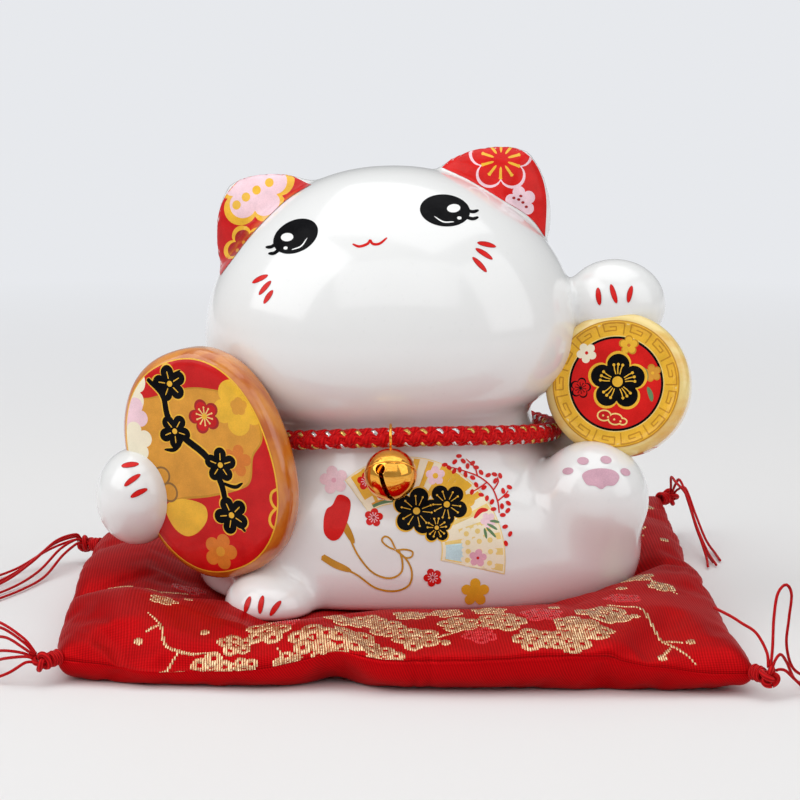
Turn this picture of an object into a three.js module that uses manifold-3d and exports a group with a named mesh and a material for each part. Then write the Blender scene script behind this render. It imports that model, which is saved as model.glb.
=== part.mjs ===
// A seated ceramic lucky cat on a stuffed satin cushion, as an assembly of separate pieces.
// Millimetres, +Z up, the cat faces -Y. The origin is on the flat underside of the cushion, under its middle.
import * as THREE from "three";
import { mergeVertices } from "three/addons/utils/BufferGeometryUtils.js";
import Module from "manifold-3d";

const wasm = await Module();
wasm.setup();

// ---------------------------------------------------------------- driving dimensions

const WALL = 3.5; // fired thickness of the slip-cast shell
const SLIP_GAP = 0.3; // the luted joint between two castings
const BASE_Z = 8; // the cat's foot ring stands this high, on the pressed cushion

// Rounded bodies of the main casting. Each is |x/a|^n + |y/b|^n + |z/c|^n = 1, narrowing upwards by its
// taper.
const TORSO = { centre: [2.5, 3, 23], semi: [61.5, 46, 28], power: 2.7, taper: 0.07, around: 28, up: 14 };
const TORSO_TOP = TORSO.centre[2] + TORSO.semi[2];
const HAUNCH = { centre: [50.5, -17, 23], semi: [18, 20, 18], around: 14, up: 9 };
const RAISED_FOOT = { centre: [54, -25, TORSO_TOP - 14], semi: [16.3, 15.5, 16.5], around: 14, up: 9 };
const FLAT_FOOT = { centre: [-36, -37.5, 10], semi: [13, 15.5, 9.5], around: 14, up: 8 };
const HEAD_SEMI = [52.5, 43, 38.4];
const HEAD_LIFT = 1.1; // from the top of the torso to the underside of the head, inside the neck
const HEAD_CENTRE = [-2.6, -1, TORSO_TOP + HEAD_LIFT + HEAD_SEMI[2]];
const HEAD = {
  centre: HEAD_CENTRE,
  semi: HEAD_SEMI,
  power: 2.17,
  taper: 0.19,
  turn: [0, -1.5, 0],
  around: 28,
  up: 16,
};
// The ears stand on the head: seat is the place of each one's middle, in half-widths of the head
const EAR = { semi: [18.5, 8.5, 17.8], power: 1.5, around: 16, up: 10 };
const EAR_LEFT = { seat: [-0.65, 0.09, 0.51], turn: [0, -43, 0] };
const EAR_RIGHT = { seat: [0.56, 0.09, 0.71], turn: [0, 33, 0] };
// The neck is a cone from inside the torso to inside the head
const NECK = {
  centre: [1, -1],
  bottom: { semi: [42, 39.8], z: TORSO_TOP - 10 },
  top: { semi: [34.5, 30.5], z: TORSO_TOP + 15 },
  around: 28,
};

const FOOT_RING = { width: 7, depth: 2.5 }; // the raised rim under the base
const HOLLOW = { around: 18, up: 10 }; // the hollow needs fewer facets than the outside
const POUR_HOLE = { radius: 8, centre: [2.5, 3] };

// The arms and what they hold
const COIN = {
  centre: [62, -17, TORSO_TOP + 17.2],
  radius: 20.6,
  thick: 11,
  edge: 2.4,
  rim: 2.6,
  sunk: 0.6,
  turn: [-14, 0, -13],
  around: 28,
  steps: 3,
};
const PAW_CENTRE = [COIN.centre[0] - 0.5, COIN.centre[1] + 12.4, COIN.centre[2] + COIN.radius + 0.8];
const PAW = { centre: PAW_CENTRE, semi: [14.6, 12.5, 13], around: 14, up: 9 };
const FOREARM = {
  from: [54, 3, TORSO_TOP - 9],
  to: [PAW_CENTRE[0] - 1.5, PAW_CENTRE[1] + 6, PAW_CENTRE[2] - 4],
  radius: 10.5,
};
const KOBAN = {
  centre: [-52.9, -31, 48.7],
  semi: [24.6, 32.8],
  thick: 12,
  edge: 4,
  power: 2.25,
  lean: -20,
  yaw: -25,
  around: 28,
  steps: 3,
};
const KOBAN_PAW = { centre: [-74.4, -24, 37.6], semi: [11.6, 13, 13.9], around: 18, up: 12 };
const KOBAN_FOREARM = { from: [-72, -13, 38], to: [-48, 6, 40], radius: 9 };

// The braided collar lies round the neck, its front raised and its right side a little up.
// room is what it leaves between the neck and the cord, for the bell's loop and the ferrule.
const CORD = {
  radius: 2.75,
  room: [1.7, 1],
  back: 1.6,
  heights: { front: TORSO_TOP + 6.4, side: TORSO_TOP + 0.4, back: TORSO_TOP },
  roll: 0.025,
  steps: 32,
  sides: 8,
};
const FERRULE = { length: 6, wall: 0.4, gap: 0.5, around: 16 };

// The bell hangs from the cord by a wire loop and rests against the belly
const BELL = {
  x: -2.6,
  radius: 7.2,
  wall: 0.5,
  seam: 0.3,
  slit: 1.2,
  eye: 1.3,
  eyeDrop: 2.2,
  rest: 0.5,
  around: 20,
  rings: 5,
};
const LOOP = { wire: 0.4, clear: 0.5, drop: 0.2, seat: 0.2, around: 16, sides: 6 };
const PELLET_RADIUS = 1.7;

// The cushion: four corners of its seam, front left first and anticlockwise seen from above
const SEAM = [[-91.5, -85, 6.5], [93, -98, 6], [86, 93, 12], [-95, 52, 6]];
const CUSHION = { pull: [-0.06, 0.05, 0.05, 0], crest: 3.5, fabric: 0.6, gap: 0.5, perSide: 9 };
// Height of the stuffed ridge round the cat
const RIDGE = { front: 14.5, left: 13.5, right: 16.5, back: 16.5 };
const DISH = { clear: 0.5, lip: 1.6 }; // the bed that the cat presses into the top
const KNOT = { radius: 3.1, gap: 0.3, around: 8, up: 6 };
const TASSEL = { radius: 1.9, steps: 12, sides: 8 };
// Each tassel's run after its knot, as it was laid out round the cushion
const TASSEL_RUNS = {
  front_left: [[-105, -79.5, 11.5], [-113, -67, 7.6], [-122, -54, 2.9], [-133, -42, 2.2], [-143, -33, 2.2]],
  front_right: [
    [96.4, -94.5, 17.5],
    [98, -90.5, 23.8],
    [100.4, -87, 19],
    [101.6, -85, 9.5],
    [106.5, -81.5, 2.8],
    [115, -78, 2.2],
  ],
  back_right: [[89.6, 86, 18], [91, 77, 13], [93.6, 68, 6], [96, 58, 2.6], [97.6, 46, 2.4]],
  back_left: [[-107.4, 42.5, 3], [-113.4, 30, 2.2], [-120, 16.5, 2.2], [-128.4, 4.5, 2.2], [-139, -4, 2.2]],
};

// ---------------------------------------------------------------- working with solids

/** A closed mesh as a manifold solid: its shared points merged and its collapsed triangles dropped. */
function solidOf(geometry) {
  const bare = geometry.index ? geometry.toNonIndexed() : geometry.clone();
  bare.deleteAttribute("normal");
  bare.deleteAttribute("uv");
  const merged = mergeVertices(bare, 1e-4);
  const corners = merged.index.array;
  const kept = [];
  for (let i = 0; i < corners.length; i += 3) {
    const [a, b, c] = corners.slice(i, i + 3);
    if (a !== b && b !== c && a !== c) kept.push(a, b, c);
  }
  return new wasm.Manifold(new wasm.Mesh({
    numProp: 3,
    vertProperties: merged.attributes.position.array,
    triVerts: new Uint32Array(kept),
  }));
}

/** A manifold solid as a three.js geometry. */
function geometryOf(solid) {
  const { vertProperties, triVerts, numProp } = solid.getMesh();
  const places = new Float32Array((vertProperties.length / numProp) * 3);
  for (let i = 0; i < places.length / 3; i++)
    for (let k = 0; k < 3; k++) places[3 * i + k] = vertProperties[numProp * i + k];
  const geometry = new THREE.BufferGeometry();
  geometry.setAttribute("position", new THREE.BufferAttribute(places, 3));
  geometry.setIndex(new THREE.BufferAttribute(triVerts, 1));
  geometry.computeVertexNormals();
  return geometry;
}

const joined = (...solids) => solids.reduce((all, one) => all.add(one));
const cut = (solid, ...tools) => tools.reduce((rest, tool) => rest.subtract(tool), solid);

/** Moves every point of a geometry by a function of (x, y, z). */
function reshape(geometry, place) {
  const at = geometry.getAttribute("position");
  for (let i = 0; i < at.count; i++) at.setXYZ(i, ...place(at.getX(i), at.getY(i), at.getZ(i)));
  return geometry;
}

/** Turns a geometry by degrees about X, then Y, then Z, and moves it. */
function placed(geometry, turn = [0, 0, 0], centre = [0, 0, 0]) {
  const [x, y, z] = turn.map(THREE.MathUtils.degToRad);
  geometry.applyMatrix4(new THREE.Matrix4().makeRotationFromEuler(new THREE.Euler(x, y, z, "ZYX")));
  return geometry.translate(...centre);
}

/** One of the rounded bodies above, swollen all over by grow. */
function rounded({ centre, semi, power = 2, taper = 0, turn, around, up }, grow = 0) {
  const [a, b, c] = semi.map((length) => length + grow);
  const ball = new THREE.SphereGeometry(1, around, up).rotateX(Math.PI / 2);
  reshape(ball, (x, y, z) => {
    const reach = (Math.abs(x) ** power + Math.abs(y) ** power + Math.abs(z) ** power) ** (-1 / power);
    const width = reach * (1 - taper * z * reach);
    return [a * x * width, b * y * width, c * z * reach];
  });
  return solidOf(placed(ball, turn, centre));
}

/** An upright elliptical column, straight or with another width at its top. */
function column(centre, semi, bottom, top, around, topSemi = semi) {
  const tube = new THREE.CylinderGeometry(1, 1, 1, around).rotateX(Math.PI / 2);
  reshape(tube, (x, y, z) => {
    const [a, b] = z > 0 ? topSemi : semi;
    return [centre[0] + a * x, centre[1] + b * y, z > 0 ? top : bottom];
  });
  return solidOf(tube);
}

/** The half-widths of the neck at a height. */
function neckSemi(z) {
  const share = (z - NECK.bottom.z) / (NECK.top.z - NECK.bottom.z);
  return NECK.bottom.semi.map((r, k) => r + share * (NECK.top.semi[k] - r));
}

/** The neck, swollen all over by grow. */
function neck(grow = 0, around = NECK.around) {
  const [bottom, top] = [NECK.bottom, NECK.top].map(({ semi }) => semi.map((r) => r + grow));
  return column(NECK.centre, bottom, NECK.bottom.z, NECK.top.z, around, top);
}

/** A round-ended limb between two points. */
function limb({ from, to, radius }, grow = 0) {
  const start = new THREE.Vector3(...from);
  const end = new THREE.Vector3(...to);
  const capsule = new THREE.CapsuleGeometry(radius + grow, start.distanceTo(end), 6, 16);
  const along = end.clone().sub(start).normalize();
  capsule.applyQuaternion(new THREE.Quaternion().setFromUnitVectors(new THREE.Vector3(0, 1, 0), along));
  return solidOf(capsule.translate(...start.add(end).multiplyScalar(0.5).toArray()));
}

/** A block from its lowest and highest corners. */
function block(low, high) {
  const size = high.map((top, k) => top - low[k]);
  const box = new THREE.BoxGeometry(...size);
  return solidOf(box.translate(...low.map((bottom, k) => bottom + size[k] / 2)));
}

/** A round tube along a curve, with the given number of sides. */
function tubeAlong(curve, radius, steps, sides) {
  const section = new THREE.Shape();
  for (let i = 0; i < sides; i++) {
    const angle = (2 * Math.PI * i) / sides;
    const [x, y] = [radius * Math.cos(angle), radius * Math.sin(angle)];
    if (i) section.lineTo(x, y);
    else section.moveTo(x, y);
  }
  return solidOf(new THREE.ExtrudeGeometry(section, { extrudePath: curve, steps }));
}

// ---------------------------------------------------------------- the cat

/** One ear, on its seat on the head. */
function ear({ seat, turn }) {
  return { ...EAR, turn, centre: HEAD.centre.map((middle, k) => middle + seat[k] * HEAD.semi[k]) };
}

/** The outside of the main casting: head, ears, neck, torso, haunch and feet, down to the base plane. */
function bodyOutside(grow = 0) {
  const forms = [HEAD, ear(EAR_LEFT), ear(EAR_RIGHT), TORSO, HAUNCH, RAISED_FOOT, FLAT_FOOT];
  const lumps = forms.map((form) => rounded(form, grow));
  const floor = BASE_Z - grow;
  return cut(joined(neck(grow), ...lumps), block([-150, -150, -50], [150, 150, floor]));
}

/** The hollow that the slip leaves, one wall inside the head, neck and torso. */
function bodyHollow() {
  const floor = BASE_Z + FOOT_RING.depth + WALL;
  const inner = (form) => rounded({ ...form, around: HOLLOW.around, up: HOLLOW.up }, -WALL);
  const all = joined(inner(HEAD), inner(TORSO), neck(-WALL, HOLLOW.around));
  return cut(all, block([-150, -150, -50], [150, 150, floor]));
}

/** The half-widths of the torso where the base plane cuts it. */
function baseSemi() {
  const height = (BASE_Z - TORSO.centre[2]) / TORSO.semi[2];
  const share = (1 - Math.abs(height) ** TORSO.power) ** (1 / TORSO.power) * (1 - TORSO.taper * height);
  return [TORSO.semi[0] * share, TORSO.semi[1] * share];
}

function catBody() {
  const semi = baseSemi().map((r) => r - FOOT_RING.width);
  const recess = column(TORSO.centre, semi, 0, BASE_Z + FOOT_RING.depth, TORSO.around);
  const { radius, centre } = POUR_HOLE;
  const hole = column(centre, [radius, radius], 0, BASE_Z + FOOT_RING.depth + WALL + 4, 20);
  return cut(bodyOutside(), bodyHollow(), recess, hole);
}

/** The coin: a turned disc with a rounded edge and a raised rim, its face towards -Y before it is tilted. */
function coin(grow = 0) {
  const r = COIN.radius + grow;
  const half = COIN.thick / 2 + grow;
  const { edge, steps } = COIN;
  const profile = [new THREE.Vector2(0, -half)];
  for (let i = 0; i <= steps; i++) {
    const angle = (Math.PI / 2) * (i / steps);
    profile.push(new THREE.Vector2(r - edge + edge * Math.sin(angle), -half + edge * (1 - Math.cos(angle))));
  }
  for (let i = 0; i <= steps; i++) {
    const angle = (Math.PI / 2) * (i / steps);
    profile.push(new THREE.Vector2(r - edge + edge * Math.cos(angle), half - edge * (1 - Math.sin(angle))));
  }
  if (grow === 0) {
    const inner = r - COIN.rim;
    profile.push(new THREE.Vector2(inner, half), new THREE.Vector2(inner - COIN.sunk, half - COIN.sunk));
    profile.push(new THREE.Vector2(0, half - COIN.sunk));
  } else profile.push(new THREE.Vector2(0, half));
  const disc = new THREE.LatheGeometry(profile, COIN.around).rotateX(Math.PI);
  return solidOf(placed(disc, COIN.turn, COIN.centre));
}

/** The long gold piece: an oval slab with softly rounded edges. */
function koban(grow = 0) {
  const [a, b] = KOBAN.semi.map((length) => length + grow - KOBAN.edge);
  const outline = new THREE.Shape();
  for (let i = 0; i < KOBAN.around; i++) {
    const angle = (2 * Math.PI * i) / KOBAN.around;
    const [c, s] = [Math.cos(angle), Math.sin(angle)];
    const reach = (Math.abs(c) ** KOBAN.power + Math.abs(s) ** KOBAN.power) ** (-1 / KOBAN.power);
    if (i) outline.lineTo(a * c * reach, b * s * reach);
    else outline.moveTo(a * c * reach, b * s * reach);
  }
  const flat = KOBAN.thick + 2 * grow - 2 * KOBAN.edge;
  const slab = new THREE.ExtrudeGeometry(outline, {
    depth: flat,
    steps: 1,
    bevelThickness: KOBAN.edge,
    bevelSize: KOBAN.edge,
    bevelSegments: KOBAN.steps,
    curveSegments: 1,
  });
  slab.translate(0, 0, -flat / 2).rotateX(Math.PI / 2);
  return solidOf(placed(slab, [0, KOBAN.lean, KOBAN.yaw], KOBAN.centre));
}

const catOutline = bodyOutside(SLIP_GAP);
const coinClear = coin(SLIP_GAP);
const kobanClear = koban(SLIP_GAP);
const coinPiece = cut(coin(), catOutline);
const kobanPiece = cut(koban(), catOutline);

/** An arm, cut back to the joints with the body and with what it holds, and clear of the collar. */
function arm(paw, forearm, held) {
  return cut(joined(rounded(paw), limb(forearm)), catOutline, held, collarCord(SLIP_GAP));
}

// ---------------------------------------------------------------- the collar and its bell

/** The half-axes of the collar's centre line. */
const COLLAR_SEMI = neckSemi(CORD.heights.side).map((r, k) => r + CORD.room[k] + CORD.radius);

/** A point on the collar's centre line, at an angle from +X, anticlockwise seen from above. */
function collarPoint(angle) {
  const x = COLLAR_SEMI[0] * Math.cos(angle);
  const y = COLLAR_SEMI[1] * Math.sin(angle);
  const { front, side, back } = CORD.heights;
  const ahead = -Math.sin(angle);
  const z = side + (ahead * (front - back)) / 2 + ahead ** 2 * ((front + back) / 2 - side) + CORD.roll * x;
  return new THREE.Vector3(NECK.centre[0] + x, NECK.centre[1] + CORD.back + y, z);
}

/** The collar's centre line, open at the back, where its two ends meet in the ferrule. */
class CollarLine extends THREE.Curve {
  getPoint(share, target = new THREE.Vector3()) {
    const meet = 0.3 / COLLAR_SEMI[0];
    return target.copy(collarPoint(Math.PI / 2 + meet + share * (2 * Math.PI - 2 * meet)));
  }
}

function collarCord(grow = 0) {
  return tubeAlong(new CollarLine(), CORD.radius + grow, CORD.steps, CORD.sides);
}

/** The metal sleeve that holds the cord's ends together at the back of the neck. */
function ferrule() {
  const inner = CORD.radius + FERRULE.gap;
  const outer = inner + FERRULE.wall;
  const half = FERRULE.length / 2;
  const profile = [[inner, -half], [outer, -half], [outer, half], [inner, half], [inner, -half]];
  const sleeve = new THREE.LatheGeometry(profile.map(([r, y]) => new THREE.Vector2(r, y)), FERRULE.around);
  sleeve.rotateZ(Math.PI / 2 + Math.atan(CORD.roll));
  const back = collarPoint(Math.PI / 2);
  return solidOf(sleeve.rotateY(-Math.atan(CORD.roll)).translate(back.x, back.y, back.z));
}

/** Where the cord passes through the bell's loop, and how far below it the bell's middle hangs. */
const hang = collarPoint(-Math.PI / 2 + (BELL.x - NECK.centre[0]) / COLLAR_SEMI[0]);
const loopRadius = CORD.radius + LOOP.clear + LOOP.wire;
const hangLength = loopRadius + LOOP.wire + LOOP.drop + LOOP.seat + BELL.radius;

/** The bell's middle when the bell leans out by an angle from hanging straight down. */
function bellAt(lean) {
  return hang.clone().addScaledVector(new THREE.Vector3(0, -Math.sin(lean), -Math.cos(lean)), hangLength);
}

/** The lean at which the bell rests against the sloping front of the neck. */
function restingLean() {
  const slope = (NECK.bottom.semi[1] - NECK.top.semi[1]) / (NECK.top.z - NECK.bottom.z);
  const clearance = (lean) => {
    const { y, z } = bellAt(lean);
    return (NECK.centre[1] - neckSemi(z)[1] - y) * Math.cos(Math.atan(slope));
  };
  let lean = 0;
  while (clearance(lean) < BELL.radius + BELL.rest) lean += 0.002;
  return lean;
}
const bellLean = restingLean();
const bellCentre = bellAt(bellLean);

/** Puts a geometry made about the bell's centre, its loop straight up, where the bell hangs. */
const hung = (geometry) => solidOf(geometry.rotateX(-bellLean).translate(...bellCentre.toArray()));

/** One half of the hollow bell. way is 1 for the upper half and -1 for the lower. */
function bellShell(way) {
  const profile = [];
  const start = BELL.seam / 2 / BELL.radius;
  for (const [radius, reverse] of [[BELL.radius, false], [BELL.radius - BELL.wall, true]])
    for (let i = 0; i <= BELL.rings; i++) {
      const share = (reverse ? BELL.rings - i : i) / BELL.rings;
      const angle = start + share * (Math.PI / 2 - start);
      profile.push(new THREE.Vector2(share === 1 ? 0 : radius * Math.cos(angle), radius * Math.sin(angle)));
    }
  profile.push(profile[0].clone());
  const shell = new THREE.LatheGeometry(profile, BELL.around).rotateX(Math.PI / 2);
  if (way < 0) shell.rotateX(Math.PI);
  return hung(shell);
}

/** The slit across the lower half, with a round eye at each end. */
function bellSlit() {
  const reach = BELL.radius + 1;
  const slit = new THREE.BoxGeometry(BELL.slit, 2 * reach, reach).translate(0, 0, -reach / 2 - BELL.eyeDrop);
  const eye = new THREE.CylinderGeometry(BELL.eye, BELL.eye, 2 * reach, 14).translate(0, 0, -BELL.eyeDrop);
  return joined(hung(slit), hung(eye));
}

/** The wire loop round the cord. It stands across the cord, clear of it all round. */
function bellLoop() {
  const torus = new THREE.TorusGeometry(loopRadius, LOOP.wire, LOOP.sides, LOOP.around).rotateY(Math.PI / 2);
  return hung(torus.translate(0, 0, hangLength - LOOP.drop));
}

function bellPellet() {
  const low = BELL.radius - BELL.wall - SLIP_GAP - PELLET_RADIUS;
  const { x, y, z } = bellCentre;
  const semi = [PELLET_RADIUS, PELLET_RADIUS, PELLET_RADIUS];
  return rounded({ centre: [x, y, z - low], semi, around: 10, up: 6 });
}

// ---------------------------------------------------------------- the cushion

/** A point of the seam, going round from 0 to 4 and passing a corner at each whole number. */
function seamPoint(round) {
  const side = Math.floor(round) % 4;
  const share = round - Math.floor(round);
  const [from, to] = [SEAM[side], SEAM[(side + 1) % 4]];
  const bow = 4 * share * (1 - share);
  const [x, y, z] = from.map((start, k) => start + share * (to[k] - start));
  const draw = 1 - CUSHION.pull[side] * bow;
  return [x * draw, y * draw, z + CUSHION.crest * bow];
}

/** How far the cat's print on the cushion reaches from its middle in a direction. */
function printReach(towards) {
  const middle = new THREE.Vector2(TORSO.centre[0], TORSO.centre[1]);
  const prints = [
    [TORSO.centre, baseSemi(), TORSO.power],
    [FLAT_FOOT.centre, FLAT_FOOT.semi, 2],
    [HAUNCH.centre, HAUNCH.semi.map((r) => 0.66 * r), 2],
  ];
  const inside = (far) => prints.some(([centre, semi, power]) => {
    const x = (middle.x + far * towards.x - centre[0]) / (semi[0] + DISH.lip);
    const y = (middle.y + far * towards.y - centre[1]) / (semi[1] + DISH.lip);
    return Math.abs(x) ** power + Math.abs(y) ** power < 1;
  });
  let far = 90;
  while (far > 0 && !inside(far)) far -= 0.5;
  return far;
}

/**
 * The rings of the cushion from its middle outwards. share runs from the edge of the print, 0, to the
 * seam, 1.
 * rise is the share of the ridge's height over the print, and lift the share of the seam's height underneath.
 */
const RINGS = [
  { within: 0, rise: 0, lift: 0 },
  { within: 0.55, rise: 0, lift: 0 },
  { within: 1, rise: 0, lift: 0 },
  { share: 0.14, rise: 0.3, lift: 0 },
  { share: 0.32, rise: 0.86, lift: 0 },
  { share: 0.52, rise: 1, lift: 0 },
  { share: 0.75, rise: 0.86, lift: 0 },
  { share: 0.93, rise: 0.45, lift: 0.04 },
  { share: 1, rise: -1, lift: 1 },
];

/** Every ring's points, each with the height of the cushion's top and of its underside there. */
function cushionRings() {
  const middle = new THREE.Vector2(TORSO.centre[0], TORSO.centre[1]);
  const bed = BASE_Z - DISH.clear;
  const around = 4 * CUSHION.perSide;
  const awayAt = (i) => new THREE.Vector2(...seamPoint((i + around) / CUSHION.perSide)).sub(middle);
  const reachAt = (i) => printReach(awayAt(i).normalize());
  return RINGS.map(({ within, share, rise, lift }) => {
    const points = [];
    for (let i = 0; i < around; i++) {
      const z = seamPoint(i / CUSHION.perSide)[2];
      const away = awayAt(i);
      const towards = away.clone().normalize();
      const reach = Math.max(reachAt(i - 1), reachAt(i), reachAt(i + 1));
      const far = share === undefined ? within * reach : reach + share * (away.length() - reach);
      const end = towards.y > 0 ? RIDGE.back : RIDGE.front;
      const side = towards.x > 0 ? RIDGE.right : RIDGE.left;
      const ridge = side * towards.x ** 2 + end * towards.y ** 2;
      const seam = z + SLIP_GAP / 2 + CUSHION.fabric;
      const top = rise < 0 ? seam : bed + rise * (ridge - bed);
      const under = lift * (z - SLIP_GAP / 2 - CUSHION.fabric);
      points.push({ x: middle.x + far * towards.x, y: middle.y + far * towards.y, top, under });
    }
    return points;
  });
}

const allRings = cushionRings();

/** A closed piece over the rings, its upper and lower faces at the heights given for each point. */
function overRings(rings, upper, lower) {
  const around = rings[0].length;
  const middle = rings[0][0];
  const outer = rings.slice(1);
  const places = [];
  for (const height of [upper, lower]) {
    places.push([middle.x, middle.y, height(middle)]);
    outer.forEach((ring) => ring.forEach((point) => places.push([point.x, point.y, height(point)])));
  }
  const layer = 1 + outer.length * around;
  const faces = [];
  const face = (a, b, c, below) => faces.push(...(below ? [layer + a, layer + c, layer + b] : [a, b, c]));
  for (const below of [false, true])
    for (let i = 0; i < around; i++) {
      const next = (i + 1) % around;
      face(0, 1 + i, 1 + next, below);
      for (let ring = 0; ring < outer.length - 1; ring++) {
        const [near, far] = [1 + ring * around, 1 + (ring + 1) * around];
        face(near + i, far + i, far + next, below);
        face(near + i, far + next, near + next, below);
      }
    }
  const rim = layer - around;
  for (let i = 0; i < around; i++) {
    const [a, b] = [rim + i, rim + ((i + 1) % around)];
    faces.push(a, layer + a, layer + b, a, layer + b, b);
  }
  const geometry = new THREE.BufferGeometry();
  geometry.setAttribute("position", new THREE.Float32BufferAttribute(places.flat(), 3));
  geometry.setIndex(faces);
  return solidOf(geometry);
}

const { fabric, gap } = CUSHION;
const topPanel = overRings(allRings, ({ top }) => top, ({ top }) => top - fabric);
const bottomPanel = overRings(allRings, ({ under }) => under + fabric, ({ under }) => under);
const filling = overRings(
  allRings.slice(0, -1),
  ({ top }) => top - fabric - gap,
  ({ under }) => under + fabric + gap,
);

/** The knot that closes one corner, just outside the seam's corner. */
function knotCentre(corner) {
  const [x, y, z] = SEAM[corner];
  const out = new THREE.Vector2(x, y).normalize().multiplyScalar(KNOT.radius + KNOT.gap);
  return [x + out.x, y + out.y, z];
}

function knot(corner) {
  const { radius, around, up } = KNOT;
  return rounded({ centre: knotCentre(corner), semi: [radius, radius, radius * 0.85], around, up });
}

/** The threads of one tassel, gathered along their run from the side of its knot. */
function tassel(corner, run) {
  const points = run.map((point) => new THREE.Vector3(...point));
  const middle = new THREE.Vector3(...knotCentre(corner));
  const out = points[0].clone().sub(middle).setLength(KNOT.radius + KNOT.gap);
  const line = new THREE.CatmullRomCurve3([middle.add(out), ...points]);
  return tubeAlong(line, TASSEL.radius, TASSEL.steps, TASSEL.sides);
}

// ---------------------------------------------------------------- finishes

function finish(color, roughness, metalness = 0) {
  return new THREE.MeshStandardMaterial({ color, roughness, metalness });
}
const FINISH = {
  glaze: finish("#f3f2ee", 0.12),
  amberGlaze: finish("#d9861f", 0.18),
  yellowGlaze: finish("#e9c13c", 0.2),
  braid: finish("#c8141c", 0.6),
  gilt: finish("#d99a1e", 0.18, 1),
  steel: finish("#b9bcc0", 0.3, 1),
  brocade: finish("#b8101a", 0.5),
  satin: finish("#c4121b", 0.35),
  wadding: finish("#e9e6df", 0.95),
  thread: finish("#b3141d", 0.7),
};

// ---------------------------------------------------------------- the assembly

const figurine = new THREE.Group();

function add(name, solid, material) {
  const mesh = new THREE.Mesh(geometryOf(solid), material);
  mesh.name = name;
  figurine.add(mesh);
}

add("cat_body", catBody(), FINISH.glaze);
add("raised_arm", arm(PAW, FOREARM, coinClear), FINISH.glaze);
add("coin", coinPiece, FINISH.yellowGlaze);
add("koban", kobanPiece, FINISH.amberGlaze);
add("koban_arm", arm(KOBAN_PAW, KOBAN_FOREARM, kobanClear), FINISH.glaze);
add("collar_cord", collarCord(), FINISH.braid);
add("collar_ferrule", ferrule(), FINISH.gilt);
add("bell_loop", bellLoop(), FINISH.gilt);
add("bell_upper_shell", bellShell(1), FINISH.gilt);
add("bell_lower_shell", cut(bellShell(-1), bellSlit()), FINISH.gilt);
add("bell_pellet", bellPellet(), FINISH.steel);
add("cushion_top_panel", topPanel, FINISH.brocade);
add("cushion_bottom_panel", bottomPanel, FINISH.satin);
add("cushion_filling", filling, FINISH.wadding);
["front_left", "front_right", "back_right", "back_left"].forEach((corner, i) => {
  add(`tassel_knot_${corner}`, knot(i), FINISH.thread);
  add(`tassel_${corner}`, tassel(i, TASSEL_RUNS[corner]), FINISH.thread);
});

export default figurine;
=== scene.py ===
"""A glazed lucky cat seated on a brocade cushion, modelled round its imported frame.

The cat faces -Y and +Z is up. Lengths are millimetres, and MM turns them into Blender's metres.
"""

import logging
import math
from dataclasses import dataclass, field
from enum import Enum
from typing import Callable, Iterable, Sequence

import bmesh
import bpy
import numpy as np
from mathutils import Matrix, Vector, geometry, noise
from mathutils.bvhtree import BVHTree
from mathutils.kdtree import KDTree


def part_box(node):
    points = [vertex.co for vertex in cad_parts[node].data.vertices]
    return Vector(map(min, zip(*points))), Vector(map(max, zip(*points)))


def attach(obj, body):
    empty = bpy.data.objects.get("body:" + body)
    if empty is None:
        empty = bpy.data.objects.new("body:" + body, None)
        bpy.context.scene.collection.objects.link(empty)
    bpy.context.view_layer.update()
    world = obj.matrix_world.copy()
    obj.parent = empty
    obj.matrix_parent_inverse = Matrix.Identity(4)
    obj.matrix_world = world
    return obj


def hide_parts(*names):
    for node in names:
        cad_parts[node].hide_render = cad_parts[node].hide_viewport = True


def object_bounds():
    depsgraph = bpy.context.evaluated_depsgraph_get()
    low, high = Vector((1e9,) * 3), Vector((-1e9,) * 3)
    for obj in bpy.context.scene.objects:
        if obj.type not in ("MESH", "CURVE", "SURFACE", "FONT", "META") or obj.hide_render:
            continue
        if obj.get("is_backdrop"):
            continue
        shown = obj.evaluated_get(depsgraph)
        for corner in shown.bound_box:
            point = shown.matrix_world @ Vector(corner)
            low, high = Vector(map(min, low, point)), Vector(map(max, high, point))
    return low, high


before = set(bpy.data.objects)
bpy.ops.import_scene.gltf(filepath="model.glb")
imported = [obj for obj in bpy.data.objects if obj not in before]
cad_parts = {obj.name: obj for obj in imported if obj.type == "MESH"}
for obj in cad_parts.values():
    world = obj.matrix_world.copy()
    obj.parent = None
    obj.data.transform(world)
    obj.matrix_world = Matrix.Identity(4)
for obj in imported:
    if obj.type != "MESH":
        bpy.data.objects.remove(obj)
cad_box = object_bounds()

log = logging.getLogger("lucky_cat")

MM = 0.001
Triple = tuple[float, float, float]
Colour = tuple[float, float, float]
Points = np.ndarray

SIGHT_DROP = math.radians(9.93)  # how far the artwork is looked down on, and the camera too


# ---------------------------------------------------------------- meshes


def deselect() -> None:
    """Leaves nothing selected."""
    bpy.ops.object.select_all(action="DESELECT")


def activate(piece: bpy.types.Object) -> bpy.types.Object:
    """Selects one object alone and makes it the active one."""
    deselect()
    piece.select_set(True)
    bpy.context.view_layer.objects.active = piece
    return piece


def named(piece: bpy.types.Object, name: str) -> bpy.types.Object:
    """Names an object and its mesh."""
    piece.name = name
    piece.data.name = name
    return piece


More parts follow.
